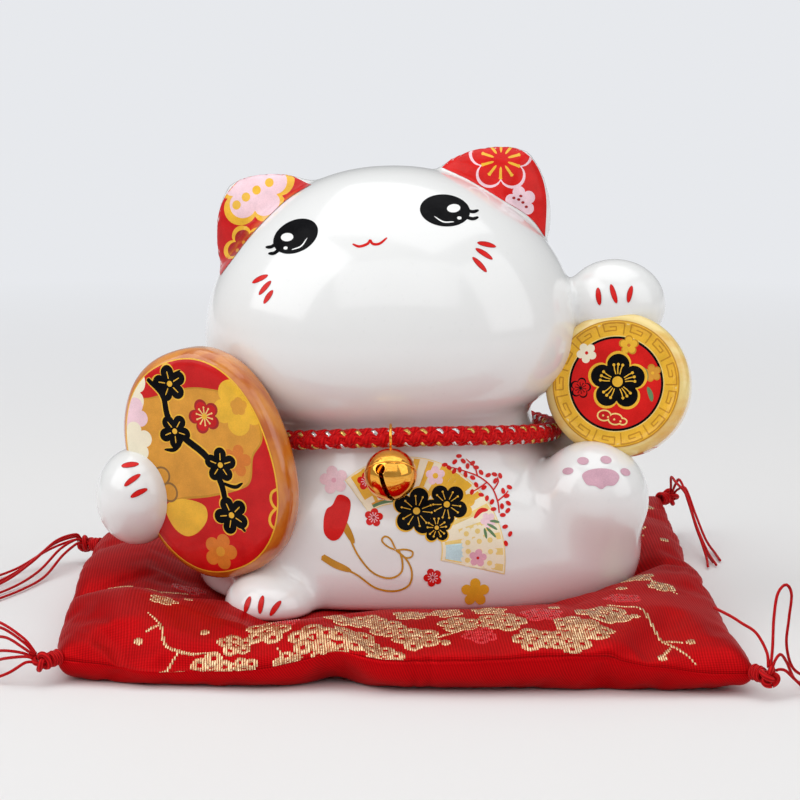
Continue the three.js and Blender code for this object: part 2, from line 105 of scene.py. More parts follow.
def piece_from(name: str, points: Points, faces: Sequence[Sequence[int]]) -> bpy.types.Object:
    """A smooth mesh object from points in millimetres.

    Args:
        name: The object's name.
        points: One row of x, y, z for each vertex.
        faces: Each face's vertex numbers, anticlockwise seen from outside.

    Returns:
        The new object, linked to the scene.
    """
    mesh = bpy.data.meshes.new(name)
    mesh.from_pydata((np.asarray(points, float) * MM).tolist(), [], [list(map(int, f)) for f in faces])
    mesh.validate()
    mesh.update()
    mesh.shade_smooth()
    piece = bpy.data.objects.new(name, mesh)
    bpy.context.scene.collection.objects.link(piece)
    return piece


def points_of(piece: bpy.types.Object) -> Points:
    """Every vertex of an object in millimetres, one row each."""
    flat = np.empty(len(piece.data.vertices) * 3)
    piece.data.vertices.foreach_get("co", flat)
    return flat.reshape(-1, 3) / MM


def move_points(piece: bpy.types.Object, points: Points) -> None:
    """Puts every vertex of an object at a place in millimetres."""
    piece.data.vertices.foreach_set("co", (points * MM).ravel())
    piece.data.update()


def apply_modifier(piece: bpy.types.Object, kind: str, **settings: object) -> None:
    """Adds a modifier with these settings to an object and applies it."""
    activate(piece)
    modifier = piece.modifiers.new(kind.lower(), kind)
    for name, value in settings.items():
        setattr(modifier, name, value)
    bpy.ops.object.modifier_apply(modifier=modifier.name)


def join(pieces: Sequence[bpy.types.Object], name: str) -> bpy.types.Object:
    """Joins objects into the first one and names it."""
    activate(pieces[0])
    for piece in pieces:
        piece.select_set(True)
    bpy.ops.object.join()
    return named(pieces[0], name)


def settle_place(piece: bpy.types.Object) -> None:
    """Moves an object's place, turn and size into its mesh."""
    activate(piece)
    bpy.ops.object.transform_apply(location=True, rotation=True, scale=True)


def mend_normals(piece: bpy.types.Object) -> None:
    """Merges doubled points and turns every face outwards."""
    activate(piece)
    bpy.ops.object.mode_set(mode="EDIT")
    bpy.ops.mesh.select_all(action="SELECT")
    bpy.ops.mesh.remove_doubles(threshold=1e-6)
    bpy.ops.mesh.normals_make_consistent(inside=False)
    bpy.ops.object.mode_set(mode="OBJECT")
    piece.data.shade_smooth()


def surface_of(*pieces: bpy.types.Object) -> BVHTree:
    """The faces of one or more objects, for finding points on them."""
    places: list[list[float]] = []
    faces: list[tuple[int, ...]] = []
    for piece in pieces:
        start = len(places)
        places += points_of(piece).tolist()
        faces += [tuple(start + v for v in polygon.vertices) for polygon in piece.data.polygons]
    return BVHTree.FromPolygons(places, faces)


def turning(turn: Triple) -> np.ndarray:
    """The 3x3 matrix that turns by degrees about X, then Y, then Z."""
    about_x, about_y, about_z = (
        Matrix.Rotation(math.radians(angle), 3, axis) for angle, axis in zip(turn, "XYZ")
    )
    return np.array(about_z @ about_y @ about_x)


# ---------------------------------------------------------------- shading


class Shading:
    """A material's nodes, added one at a time round its Principled shader."""

    def __init__(self, name: str) -> None:
        """Starts an opaque material of that name."""
        self.material = bpy.data.materials.new(name)
        self.material.use_nodes = True
        self.tree = self.material.node_tree
        self.shader = self.tree.nodes["Principled BSDF"]

    def add(
        self, kind: str, inputs: dict[str | int, object] | None = None, **settings: object,
    ) -> bpy.types.Node:
        """Adds a node.

        Args:
            kind: The node's type, without its ShaderNode prefix.
            inputs: Values or sockets for its inputs, by name or number.
            **settings: Properties of the node itself.

        Returns:
            The node.
        """
        node = self.tree.nodes.new(f"ShaderNode{kind}")
        for name, value in settings.items():
            setattr(node, name, value)
        for name, value in (inputs or {}).items():
            self.feed(node.inputs[name], value)
        return node

    def feed(self, socket: bpy.types.NodeSocket, value: object) -> None:
        """Links a socket to another, or gives it a plain value."""
        if isinstance(value, bpy.types.NodeSocket):
            self.tree.links.new(value, socket)
        else:
            socket.default_value = value

    def set(self, **inputs: object) -> None:
        """Feeds inputs of the shader, named with _ for each space."""
        for name, value in inputs.items():
            self.feed(self.shader.inputs[name.replace("_", " ")], value)

    def place(self, scale: Triple = (1, 1, 1), turn: Triple = (0, 0, 0)) -> bpy.types.NodeSocket:
        """Object coordinates, stretched by scale."""
        source = self.add("TexCoord").outputs["Object"]
        radians = tuple(math.radians(angle) for angle in turn)
        return self.add("Mapping", {"Vector": source, "Scale": scale, "Rotation": radians}).outputs[0]

    def attribute(self, name: str, output: str = "Fac") -> bpy.types.NodeSocket:
        """A value stored on the mesh."""
        return self.add("Attribute", attribute_name=name).outputs[output]

    def noise(self, size: float, vector: object = None, detail: float = 2.0) -> bpy.types.NodeSocket:
        """Soft noise whose lumps are about size millimetres across."""
        place = self.place() if vector is None else vector
        inputs = {"Scale": 1 / (size * MM), "Detail": detail, "Vector": place}
        return self.add("TexNoise", inputs).outputs["Fac"]

    def math(self, operation: str, a: object, b: object = 0.0) -> bpy.types.NodeSocket:
        """The result of a sum on one or two numbers."""
        return self.add("Math", {0: a, 1: b}, operation=operation).outputs[0]

    def spread(
        self, value: object, low: float, high: float, to_low: float = 0, to_high: float = 1,
    ) -> bpy.types.NodeSocket:
        """Stretches a value from one range to another and holds it there."""
        inputs = {"Value": value, "From Min": low, "From Max": high, "To Min": to_low, "To Max": to_high}
        return self.add("MapRange", inputs).outputs[0]

    def blend(self, share: object, first: object, second: object) -> bpy.types.NodeSocket:
        """A colour between two others."""
        node = self.add("Mix", data_type="RGBA")
        self.feed(node.inputs[0], share)
        for socket, value in ((node.inputs[6], first), (node.inputs[7], second)):
            self.feed(socket, value if isinstance(value, bpy.types.NodeSocket) else (*value, 1))
        return node.outputs[2]

    def bump(self, height: object, depth: float, under: object = None) -> bpy.types.NodeSocket:
        """A normal roughened by a height of depth millimetres."""
        inputs = {"Height": height, "Distance": depth * MM, "Strength": 1.0}
        if under is not None:
            inputs["Normal"] = under
        return self.add("Bump", inputs).outputs[0]


# ---------------------------------------------------------------- finishes


@dataclass(frozen=True)
class Glaze:
    """A thick clear glaze over a coloured body, with slow streaks of a second tone."""

    name: str
    colour: Colour
    second: Colour
    streak: Triple = (1, 1, 1)
    streak_size: float = 30.0
    low: float = 0.35
    high: float = 0.7

    def build(self) -> bpy.types.Material:
        """The material."""
        s = Shading(self.name)
        tone = s.noise(self.streak_size, s.place(self.streak), detail=4)
        fleck = s.noise(1.3, detail=3)
        body = s.blend(s.spread(tone, self.low, self.high), self.colour, self.second)
        dusk = tuple(0.9 * c for c in self.second)
        s.set(Base_Color=s.blend(s.spread(fleck, 0.62, 0.85, 0, 0.35), body, dusk))
        s.set(Roughness=s.spread(s.noise(18), 0.3, 0.7, 0.16, 0.24))
        ripple = s.bump(s.noise(26, detail=1), 0.09)
        s.set(Normal=s.bump(s.noise(1.6, detail=2), 0.0022, ripple))
        s.set(Coat_Weight=1.0, Coat_Roughness=0.075, Coat_IOR=1.45, IOR=1.5)
        return s.material


@dataclass(frozen=True)
class Bisque:
    """The bare fired clay of the foot, where the glaze is wiped off."""

    name: str = "bisque"

    def build(self) -> bpy.types.Material:
        """The material."""
        s = Shading(self.name)
        s.set(Base_Color=s.blend(s.noise(2.2, detail=6), (0.72, 0.68, 0.6), (0.82, 0.79, 0.72)))
        s.set(Roughness=0.85, Normal=s.bump(s.noise(0.5, detail=4), 0.03))
        return s.material


@dataclass(frozen=True)
class PrintInk:
    """A printed transfer fired under the glaze: flat colour with a faint screen grain."""

    name: str
    colour: Colour
    metal: float = 0.0
    grain: float = 0.12
    coat: float = 0.35

    def build(self) -> bpy.types.Material:
        """The material."""
        s = Shading(f"ink_{self.name}")
        cloud = s.noise(5, detail=4)
        screen = s.noise(0.35, detail=1)
        worn = tuple(min(1, c * (1 + self.grain) + 0.004) for c in self.colour)
        deep = tuple(c * (1 - self.grain) for c in self.colour)
        tone = s.math("ADD", s.math("MULTIPLY", cloud, 0.7), s.math("MULTIPLY", screen, 0.3))
        s.set(Base_Color=s.blend(s.spread(tone, 0.35, 0.65), deep, worn))
        s.set(Metallic=self.metal, Roughness=0.3, Specular_IOR_Level=0.5 * self.coat)
        s.set(Normal=s.bump(s.noise(26, detail=1), 0.09))
        s.set(Coat_Weight=self.coat, Coat_Roughness=0.07, Coat_IOR=1.45)
        return s.material


class Ink(Enum):
    """The colours that the artwork is printed in."""

    BLACK = PrintInk("black", (0.003, 0.003, 0.004), grain=0.3, coat=0.04)
    WHITE = PrintInk("white", (0.86, 0.86, 0.85), grain=0.02)
    RED = PrintInk("red", (0.58, 0.005, 0.006), coat=0.25)
    BRIGHT_RED = PrintInk("bright_red", (0.66, 0.008, 0.006), coat=0.2)
    DARK_RED = PrintInk("dark_red", (0.36, 0.005, 0.007))
    PINK = PrintInk("pink", (0.78, 0.4, 0.5))
    PALE_PINK = PrintInk("pale_pink", (0.86, 0.6, 0.66))
    MAUVE = PrintInk("mauve", (0.62, 0.36, 0.44))
    GOLD = PrintInk("gold", (0.70, 0.31, 0.03))
    YELLOW = PrintInk("yellow", (0.84, 0.47, 0.03))
    PALE_YELLOW = PrintInk("pale_yellow", (0.88, 0.66, 0.22))
    CREAM = PrintInk("cream", (0.9, 0.82, 0.62), grain=0.05)
    OCHRE = PrintInk("ochre", (0.56, 0.26, 0.014))
    AMBER = PrintInk("amber", (0.66, 0.19, 0.02))
    BROWN = PrintInk("brown", (0.27, 0.13, 0.03))
    LEAF = PrintInk("leaf", (0.12, 0.24, 0.1))
    SKY = PrintInk("sky", (0.55, 0.76, 0.8))

    def build(self) -> bpy.types.Material:
        """This ink's material, made once."""
        made = bpy.data.materials.get(f"ink_{self.value.name}")
        return made or self.value.build()


# ---------------------------------------------------------------- printed artwork


def smooth_line(points: Sequence[Sequence[float]], steps: int = 8, closed: bool = False) -> Points:
    """A smooth curve through points in a plane.

    Args:
        points: The points that it passes, as x and y.
        steps: How many steps it takes from each point to the next.
        closed: Whether it comes round to its first point.

    Returns:
        The points along it.
    """
    p = np.asarray(points, float)
    n = len(p)
    if closed:
        before, start, end, after = (np.roll(p, k, axis=0) for k in (1, 0, -1, -2))
    else:
        ends = np.vstack([2 * p[0] - p[1], p, 2 * p[-1] - p[-2]])
        before, start, end, after = (ends[k:k + n - 1] for k in range(4))
    share = (np.arange(steps) / steps)[:, None, None]
    curve = 0.5 * (
        2 * start
        + (end - before) * share
        + (2 * before - 5 * start + 4 * end - after) * share ** 2
        + (3 * start - before - 3 * end + after) * share ** 3
    )
    line = curve.transpose(1, 0, 2).reshape(-1, p.shape[1])
    return line if closed else np.vstack([line, p[-1]])


def ellipse(middle: Sequence[float], semi: Sequence[float], turn: float = 0, steps: int = 40) -> Points:
    """An ellipse turned anticlockwise by degrees."""
    angle = np.linspace(0, 2 * math.pi, steps, endpoint=False)
    flat = np.column_stack([semi[0] * np.cos(angle), semi[1] * np.sin(angle)])
    return moved(flat, middle, turn)


def moved(shape: Points, middle: Sequence[float], turn: float = 0, size: float = 1) -> Points:
    """A flat shape scaled, turned anticlockwise by degrees about the origin, and moved."""
    c, s = math.cos(math.radians(turn)), math.sin(math.radians(turn))
    return size * shape @ np.array([[c, s], [-s, c]]) + np.asarray(middle, float)


def blossom(
    middle: Sequence[float], radius: float, turn: float = 0, notch: float = 0.34, petals: int = 5,
) -> Points:
    """The outline of a plum blossom with round petals."""
    angle = np.linspace(0, 2 * math.pi, 14 * petals, endpoint=False)
    reach = 1 - notch * (1 - np.abs(np.cos(petals * angle / 2)) ** 0.75)
    return moved(radius * reach[:, None] * np.column_stack([np.cos(angle), np.sin(angle)]), middle, turn)


def stroke(
    points: Sequence[Sequence[float]], width: float, ends: tuple[float, float] = (0.3, 0.3), steps: int = 6,
) -> Points:
    """A brush stroke along a smooth line.

    Args:
        points: The points that the brush passes.
        width: Its width in the middle of the stroke.
        ends: Its width at the start and the end, as a share of width.
        steps: Steps from each point to the next.

    Returns:
        The stroke's outline.
    """
    line = smooth_line(points, steps)
    along = np.gradient(line, axis=0)
    along /= np.linalg.norm(along, axis=1)[:, None] + 1e-9
    side = np.column_stack([-along[:, 1], along[:, 0]])
    share = np.linspace(0, 1, len(line))
    swell = np.sin(math.pi * share) ** 0.6
    base = ends[0] + (ends[1] - ends[0]) * share
    half = (0.5 * width * (base + (1 - base) * swell))[:, None]
    tip = 0.5 * half[-1] * along[-1]
    tail = 0.5 * half[0] * along[0]
    return np.vstack([line + half * side, line[-1] + tip, (line - half * side)[::-1], line[0] - tail])


def sector(
    middle: Sequence[float], radii: tuple[Callable | float, Callable | float], angles: tuple[float, float],
    steps: int = 12,
) -> Points:
    """A piece of a ring.

    Args:
        middle: The ring's middle.
        radii: The inner and the outer radius, each a length or what gives it at each angle.
        angles: The first and the last angle in degrees.
        steps: Points along each edge.

    Returns:
        The outline, the inner edge first.
    """
    angle = np.radians(np.linspace(*angles, steps))
    inner, outer = ((r(angle) if callable(r) else np.full(steps, r)) for r in radii)
    near = inner[:, None] * np.column_stack([np.cos(angle), np.sin(angle)])
    far = outer[:, None] * np.column_stack([np.cos(angle), np.sin(angle)])
    return np.vstack([near, far[::-1]]) + np.asarray(middle, float)


def inside(points: Points, outline: Points) -> np.ndarray:
    """Which points lie within an outline."""
    x, y = points[:, 0][:, None], points[:, 1][:, None]
    a, b = outline, np.roll(outline, -1, axis=0)
    spans = (a[:, 1] > y) != (b[:, 1] > y)
    rise = np.where(b[:, 1] == a[:, 1], 1e-12, b[:, 1] - a[:, 1])
    crossing = a[:, 0] + (y - a[:, 1]) * (b[:, 0] - a[:, 0]) / rise
    return (spans & (x < crossing)).sum(axis=1) % 2 == 1


def cut_apart(outlines: Sequence[Points], grain: float) -> tuple[Points, np.ndarray, np.ndarray]:
    """Cuts overlapping outlines along each other, so that only what shows of each is left.

    Args:
        outlines: The outlines, the uppermost last.
        grain: The size of the triangles that they are filled with.

    Returns:
        The points, the triangles that any outline holds, and the number of the uppermost one for each.
    """
    corners = np.vstack(outlines)
    tree = KDTree(len(corners))
    for i, corner in enumerate(corners):
        tree.insert((*corner, 0), i)
    tree.balance()
    low, high = corners.min(axis=0), corners.max(axis=0)
    rows = [np.arange(low[k] + grain / 2, high[k], grain) for k in range(2)]
    grid = np.array(np.meshgrid(*rows)).reshape(2, -1).T
    held = owners(grid, outlines) >= 0
    grid = np.array([p for p in grid[held] if tree.find((*p, 0))[2] > 0.4 * grain]).reshape(-1, 2)
    edges, start = [], 0
    for outline in outlines:
        count = len(outline)
        edges += [(start + i, start + (i + 1) % count) for i in range(count)]
        start += count
    points = [Vector(p) for p in np.vstack([corners, grid]).tolist()]
    found = geometry.delaunay_2d_cdt(points, edges, [], 0, 1e-4)
    points = np.array([list(v) for v in found[0]])
    triangles = np.array([list(face) for face in found[2]])
    owner = owners(points[triangles].mean(axis=1), outlines)
    return points, triangles[owner >= 0], owner[owner >= 0]


def owners(points: Points, outlines: Sequence[Points]) -> np.ndarray:
    """The number of the last outline that holds each point, or -1."""
    found = np.full(len(points), -1)
    for number, outline in enumerate(outlines):
        low, high = outline.min(axis=0), outline.max(axis=0)
        near = np.flatnonzero(((points >= low) & (points <= high)).all(axis=1))
        if len(near):
            found[near[inside(points[near], outline)]] = number
    return found


@dataclass
class Artwork:
    """Coloured shapes laid one on another in a plane, and then pressed on to a surface.

    Attributes:
        name: The finished piece's name.
        middle: The plane's origin.
        right: The direction of the artwork's x.
        up: The direction of its y.
        grain: The size of its triangles.
    """

    name: str
    middle: Triple
    right: Triple
    up: Triple
    grain: float = 1.3
    shapes: list[tuple[Ink, Points]] = field(default_factory=list)

    def put(self, ink: Ink, *outlines: Points) -> None:
        """Lays outlines of one ink on top of all that is there."""
        self.shapes += [(ink, np.asarray(outline, float)) for outline in outlines]

    def flower(
        self, middle: Sequence[float], radius: float, turn: float, petals: Ink, rim: Ink | None = None,
        eye: Ink | None = None, rays: Ink | None = None,
    ) -> None:
        """Lays one blossom.

        Args:
            middle: Its middle on the sheet.
            radius: Its radius.
            turn: Its turn in degrees.
            petals: The ink of its petals.
            rim: The ink of a rim round them, if any.
            eye: The ink of its eye, if any.
            rays: The ink of its stamens, if any.
        """
        if rim:
            self.put(rim, blossom(middle, radius, turn))
        self.put(petals, blossom(middle, radius * (0.84 if rim else 1), turn))
        if rays:
            tips = [
                moved(np.array([[0.5 * radius, 0]]), middle, turn + 72 * k + 18 * j)[0]
                for k in range(5)
                for j in (-1, 1)
            ]
            lines = [
                stroke([middle, (np.asarray(middle) + tip) / 2, tip], 0.07 * radius, (1, 1), 2)
                for tip in tips
            ]
            self.put(rays, *[ellipse(tip, (0.06 * radius, 0.06 * radius), 0, 8) for tip in tips])
            self.put(rays, *lines)
        if eye:
            self.put(eye, ellipse(middle, (0.17 * radius, 0.17 * radius), 0, 14))

    def press(self, surface: BVHTree, lift: float = 0.06, from_far: float = 90.0) -> bpy.types.Object:
        """Presses the shapes on to a surface, straight along the plane's back.

        Args:
            surface: What they lie on, in millimetres.
            lift: How far they lie off the surface.
            from_far: How far in front of the plane the rays start.

        Returns:
            The finished piece.
        """
        right, up = Vector(self.right), Vector(self.up)
        back = up.cross(right)
        flat, triangles, owner = cut_apart([outline for _, outline in self.shapes], self.grain)
        used, triangles = np.unique(triangles, return_inverse=True)
        middle = Vector(self.middle)
        origins = [
            middle + float(x) * right + float(y) * up - from_far * back for x, y in flat[used]
        ]
        hits = [surface.ray_cast(origin, back) for origin in origins]
        found = KDTree(len(hits))
        for k, hit in enumerate(hits):
            if hit[0] is not None:
                found.insert(origins[k], k)
        found.balance()
        for k, origin in enumerate(origins):
            if hits[k][0] is None:
                hits[k] = surface.find_nearest(origin + hits[found.find(origin)[1]][3] * back)
        places = np.array([list(place + lift * normal) for place, normal, _, _ in hits])
        piece = piece_from(self.name, places, triangles.reshape(-1, 3).tolist())
        inks = list(dict.fromkeys(ink for ink, _ in self.shapes))
        for ink in inks:
            piece.data.materials.append(ink.build())
        piece.data.polygons.foreach_set("material_index", [inks.index(self.shapes[k][0]) for k in owner])
        self.face_out(piece, back)
        return piece

    @staticmethod
    def face_out(piece: bpy.types.Object, back: Vector) -> None:
        """Turns the sheet over if its faces look in at the surface."""
        looks = sum(p.normal.dot(back) * p.area for p in piece.data.polygons)
        if looks > 0:
            piece.data.flip_normals()


SIGHT_UP = (0.0, math.sin(SIGHT_DROP), math.cos(SIGHT_DROP))


def body_artwork(name: str, grain: float = 0.7) -> Artwork:
    """Artwork for the cat's front, in the plane that its face is seen in."""
    return Artwork(name, (0, 0, 0), (1, 0, 0), SIGHT_UP, grain)


# ---------------------------------------------------------------- the cat


def fillet(first: Points, second: Points, width: float) -> Points:
    """The smaller of two distances, rounded over where they are within width of each other."""
    overlap = np.maximum(width - np.abs(first - second), 0) / width
    return np.minimum(first, second) - overlap ** 2 * width / 4


def hollowed(solid: Points, tool: Points, width: float) -> Points:
    """A distance with a tool's shape cut out of it, the edge rounded over."""
    return -fillet(-solid, tool, width)


@dataclass(frozen=True)
class Lump:
    """A rounded form: |x/a|^n + |y/b|^n + |z/c|^n = 1, narrowing upwards by its taper.

    Attributes:
        centre: Its middle.
        semi: Its half-widths a, b and c.
        power: The n above.
        taper: How much narrower it is at its top than at its middle, as a share.
        turn: Degrees about X, then Y, then Z.
        melt: How wide its fillet with the rest is.
    """

    centre: Triple
    semi: Triple
    power: float = 2.0
    taper: float = 0.0
    turn: Triple = (0, 0, 0)
    melt: float = 4.0

    def distance(self, points: Points) -> Points:
        """About how far points are outside it, and below zero inside."""
        local = (points - np.array(self.centre)) @ turning(self.turn)
        a, b, c = self.semi
        high = np.clip(local[:, 2] / c, -1.5, 1.5)
        width = 1 - self.taper * high
        scaled = np.abs(np.column_stack([local[:, 0] / (a * width), local[:, 1] / (b * width), high]))
        reach = (scaled ** self.power).sum(axis=1) ** (1 / self.power) + 1e-9
        return np.linalg.norm(local, axis=1) * (1 - 1 / reach)

    def add(self) -> bpy.types.Object:
        """Adds it as a ball pulled to its shape."""
        deselect()
        bpy.ops.mesh.primitive_uv_sphere_add(segments=48, ring_count=28, radius=1)
        ball = bpy.context.object
        unit = points_of(ball) * MM
        reach = (np.abs(unit) ** self.power).sum(axis=1) ** (-1 / self.power)
        width = (reach * (1 - self.taper * unit[:, 2] * reach))[:, None]
        shaped = unit * np.hstack([width, width, reach[:, None]]) * np.array(self.semi)
        move_points(ball, shaped @ turning(self.turn).T + np.array(self.centre))
        return ball


@dataclass(frozen=True)
class Limb:
    """A round-ended limb between two points."""

    start: Triple
    end: Triple
    radius: float
    melt: float = 6.0

    def distance(self, points: Points) -> Points:
        """How far points are outside it."""
        start, along = np.array(self.start), np.array(self.end) - np.array(self.start)
        share = np.clip((points - start) @ along / (along @ along), 0, 1)
        return np.linalg.norm(points - start - share[:, None] * along, axis=1) - self.radius

    def add(self) -> bpy.types.Object:
        """Adds it as a drum with a ball at each end."""
        start, end = Vector(self.start), Vector(self.end)
        deselect()
        bpy.ops.mesh.primitive_cylinder_add(
            vertices=32,
            radius=self.radius * MM,
            depth=(end - start).length * MM,
            location=(start + end) / 2 * MM,
            rotation=(end - start).to_track_quat("Z", "Y").to_euler(),
        )
        drum = bpy.context.object
        settle_place(drum)
        balls = [Lump(tuple(at), (self.radius,) * 3).add() for at in (start, end)]
        return join([drum, *balls], "limb")


@dataclass(frozen=True)
class Column:
    """An upright elliptical column, or a cone if its top has other half-widths."""

    centre: tuple[float, float]
    semi: tuple[float, float]
    low: float
    high: float
    top: tuple[float, float] | None = None
    melt: float = 9.0
    tuck: float = 0.0

    def distance(self, points: Points) -> Points:
        """About how far points are outside it, its foot drawn in by its tuck."""
        share = np.clip((points[:, 2] - self.low) / (self.high - self.low), 0, 1)[:, None]
        semi = np.array(self.semi) + share * (np.array(self.top or self.semi) - np.array(self.semi))
        flat = points[:, :2] - np.array(self.centre)
        reach = np.linalg.norm(flat / semi, axis=1) + 1e-9
        aside = np.linalg.norm(flat, axis=1) * (1 - 1 / reach)
        aside += self.tuck * np.maximum((self.low + 12 - points[:, 2]) / 6, 0) ** 2
        return np.maximum(aside, np.maximum(self.low - points[:, 2], points[:, 2] - self.high))

    def add(self) -> bpy.types.Object:
        """Adds it as a drum whose top is drawn in."""
        deselect()
        bpy.ops.mesh.primitive_cylinder_add(vertices=64, radius=1, depth=1)
        drum = bpy.context.object
        unit = points_of(drum) * MM
        upper = unit[:, 2] > 0
        semi = np.where(upper[:, None], np.array(self.top or self.semi), np.array(self.semi))
        flat = unit[:, :2] * semi + np.array(self.centre)
        move_points(drum, np.column_stack([flat, np.where(upper, self.high, self.low)]))
        return drum


@dataclass
class CatFigure:
    """The white casting: torso, head, ears, feet and arms in one glazed skin.

    Attributes:
        foot: The height of the foot ring's face.
        ring: The width of the foot ring.
        recess: How deep the base inside the ring is.
        hole: The pouring hole's radius and depth.
        cell: The size of the skin's faces.
    """

    foot: float = 8.0
    ring: float = 7.0
    recess: float = 2.5
    hole: tuple[float, float] = (8.0, 12.0)
    cell: float = 1.25
    torso: Lump = Lump((2.5, 3, 23), (61.5, 46, 28), 2.7, 0.07)
    neck: Column = Column((1, -1), (43.8, 42.03), 35, 66, (34.5, 30.5), melt=8, tuck=3.2)
    head: Lump = Lump((-2.6, -1, 90.5), (52.5, 43, 38.4), 2.17, 0.19, (0, -1.5, 0), melt=4)
    others: tuple[Lump | Limb, ...] = (
        Lump((50.5, -17, 23), (18, 20, 18), melt=12),
        Lump((54, -25, 37), (16.3, 15.5, 16.5), melt=5),
        Lump((-36, -37.5, 10), (13, 15.5, 9.5), melt=4),
        Limb((54, 3, 42), (60, 1.4, 85.6), 10.5, melt=7),
        Lump((61.5, -4.6, 89.6), (14.6, 12.5, 13), melt=3),
        Limb((-72, -13, 38), (-48, 6, 40), 9, melt=6),
        Lump((-74.4, -24, 37.6), (11.6, 13, 13.9), melt=4),
    )
    ears: tuple[Lump, ...] = (
        Lump((-36.7, 2.9, 110.1), (18.5, 8.5, 17.8), 1.5, 0, (0, -43, 0), melt=2.2),
        Lump((26.8, 2.9, 117.8), (18.5, 8.5, 17.8), 1.5, 0, (0, 33, 0), melt=2.2),
    )
    base_semi: tuple[float, float] = (54.0, 40.0)

    def distance(self, points: Points) -> Points:
        """How far points in millimetres are outside the finished skin."""
        far = fillet(self.torso.distance(points), self.neck.distance(points), self.neck.melt)
        for form in (*self.others[:3], self.head, *self.others[3:], *self.ears):
            far = fillet(far, form.distance(points), form.melt)
        far = hollowed(far, points[:, 2] - self.foot, 2.4)
        x, y, _ = self.torso.centre
        inner = tuple(semi - self.ring for semi in self.base_semi)
        radius, depth = self.hole
        well = Column((x, y), inner, 0, self.foot + self.recess).distance(points)
        hole = Column((x, y), (radius, radius), 0, self.foot + self.recess + depth).distance(points)
        return hollowed(hollowed(far, well, 1.6), hole, 1.4)

    def build(self) -> bpy.types.Object:
        """Models the skin: the forms are joined, cut off at the base, remeshed and settled."""
        forms = [self.torso, self.neck, self.head, *self.others, *self.ears]
        skin = join([form.add() for form in forms], "lucky_cat_skin")
        apply_modifier(skin, "REMESH", mode="VOXEL", voxel_size=self.cell * MM)
        x, y, _ = self.torso.centre
        inner = tuple(semi - self.ring for semi in self.base_semi)
        radius, depth = self.hole
        floor = Column((x, y), (150, 150), -40, self.foot).add()
        well = Column((x, y), inner, -40, self.foot + self.recess).add()
        hole = Column((x, y), (radius, radius), -40, self.foot + self.recess + depth).add()
        for tool in (floor, well, hole):
            apply_modifier(skin, "BOOLEAN", object=tool, operation="DIFFERENCE", solver="EXACT")
            bpy.data.objects.remove(tool)
        apply_modifier(skin, "REMESH", mode="VOXEL", voxel_size=self.cell * MM)
        self.settle(skin)
        skin.data.shade_smooth()
        return self.dress(skin)

    def settle(self, skin: bpy.types.Object, rounds: int = 5) -> None:
        """Draws the skin's points on to the exact filleted surface, and evens them out between."""
        edges = np.array([edge.vertices[:] for edge in skin.data.edges])
        points = points_of(skin)
        count = np.bincount(edges.ravel(), minlength=len(points))[:, None]
        for turn in range(rounds):
            for _ in range(2 if turn else 6):
                total = np.zeros_like(points)
                np.add.at(total, edges[:, 0], points[edges[:, 1]])
                np.add.at(total, edges[:, 1], points[edges[:, 0]])
                points += 0.6 * (total / count - points)
            for _ in range(3):
                points -= self.gap(points)
        points -= self.gap(points)
        move_points(skin, points)

    def gap(self, points: Points, probe: float = 0.08) -> Points:
        """The step that takes each point to the skin."""
        far = self.distance(points)
        steps = np.eye(3) * probe
        slope = np.column_stack(
            [(self.distance(points + s) - self.distance(points - s)) / (2 * probe) for s in steps]
        )
        size = np.maximum((slope ** 2).sum(axis=1), 0.2)
        return np.clip(far / size, -1.2, 1.2)[:, None] * slope

    def dress(self, skin: bpy.types.Object) -> bpy.types.Object:
        """Glazes the skin, and leaves the foot ring and what is inside it bare."""
        skin.data.materials.append(PORCELAIN.build())
        skin.data.materials.append(Bisque().build())
        bare = [p.center.z < (self.foot + 0.25) * MM or self.within_ring(p) for p in skin.data.polygons]
        skin.data.polygons.foreach_set("material_index", np.array(bare, dtype=np.int32))
        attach(skin, "cat")
        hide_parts("cat_body", "raised_arm", "koban_arm")
        return skin

    def within_ring(self, face: bpy.types.MeshPolygon) -> bool:
        """Whether a face is in the well under the base."""
        x, y, z = face.center / MM
        across = math.hypot(
            (x - self.torso.centre[0]) / self.base_semi[0], (y - self.torso.centre[1]) / self.base_semi[1],
        )
        low = z < self.foot + self.recess + self.hole[1] + 1
        return low and across < 1 - (self.ring - 1) / self.base_semi[1] and face.normal.z < 0.2


PORCELAIN = Glaze("white_porcelain", (0.85, 0.85, 0.84), (0.82, 0.82, 0.81), streak_size=45)


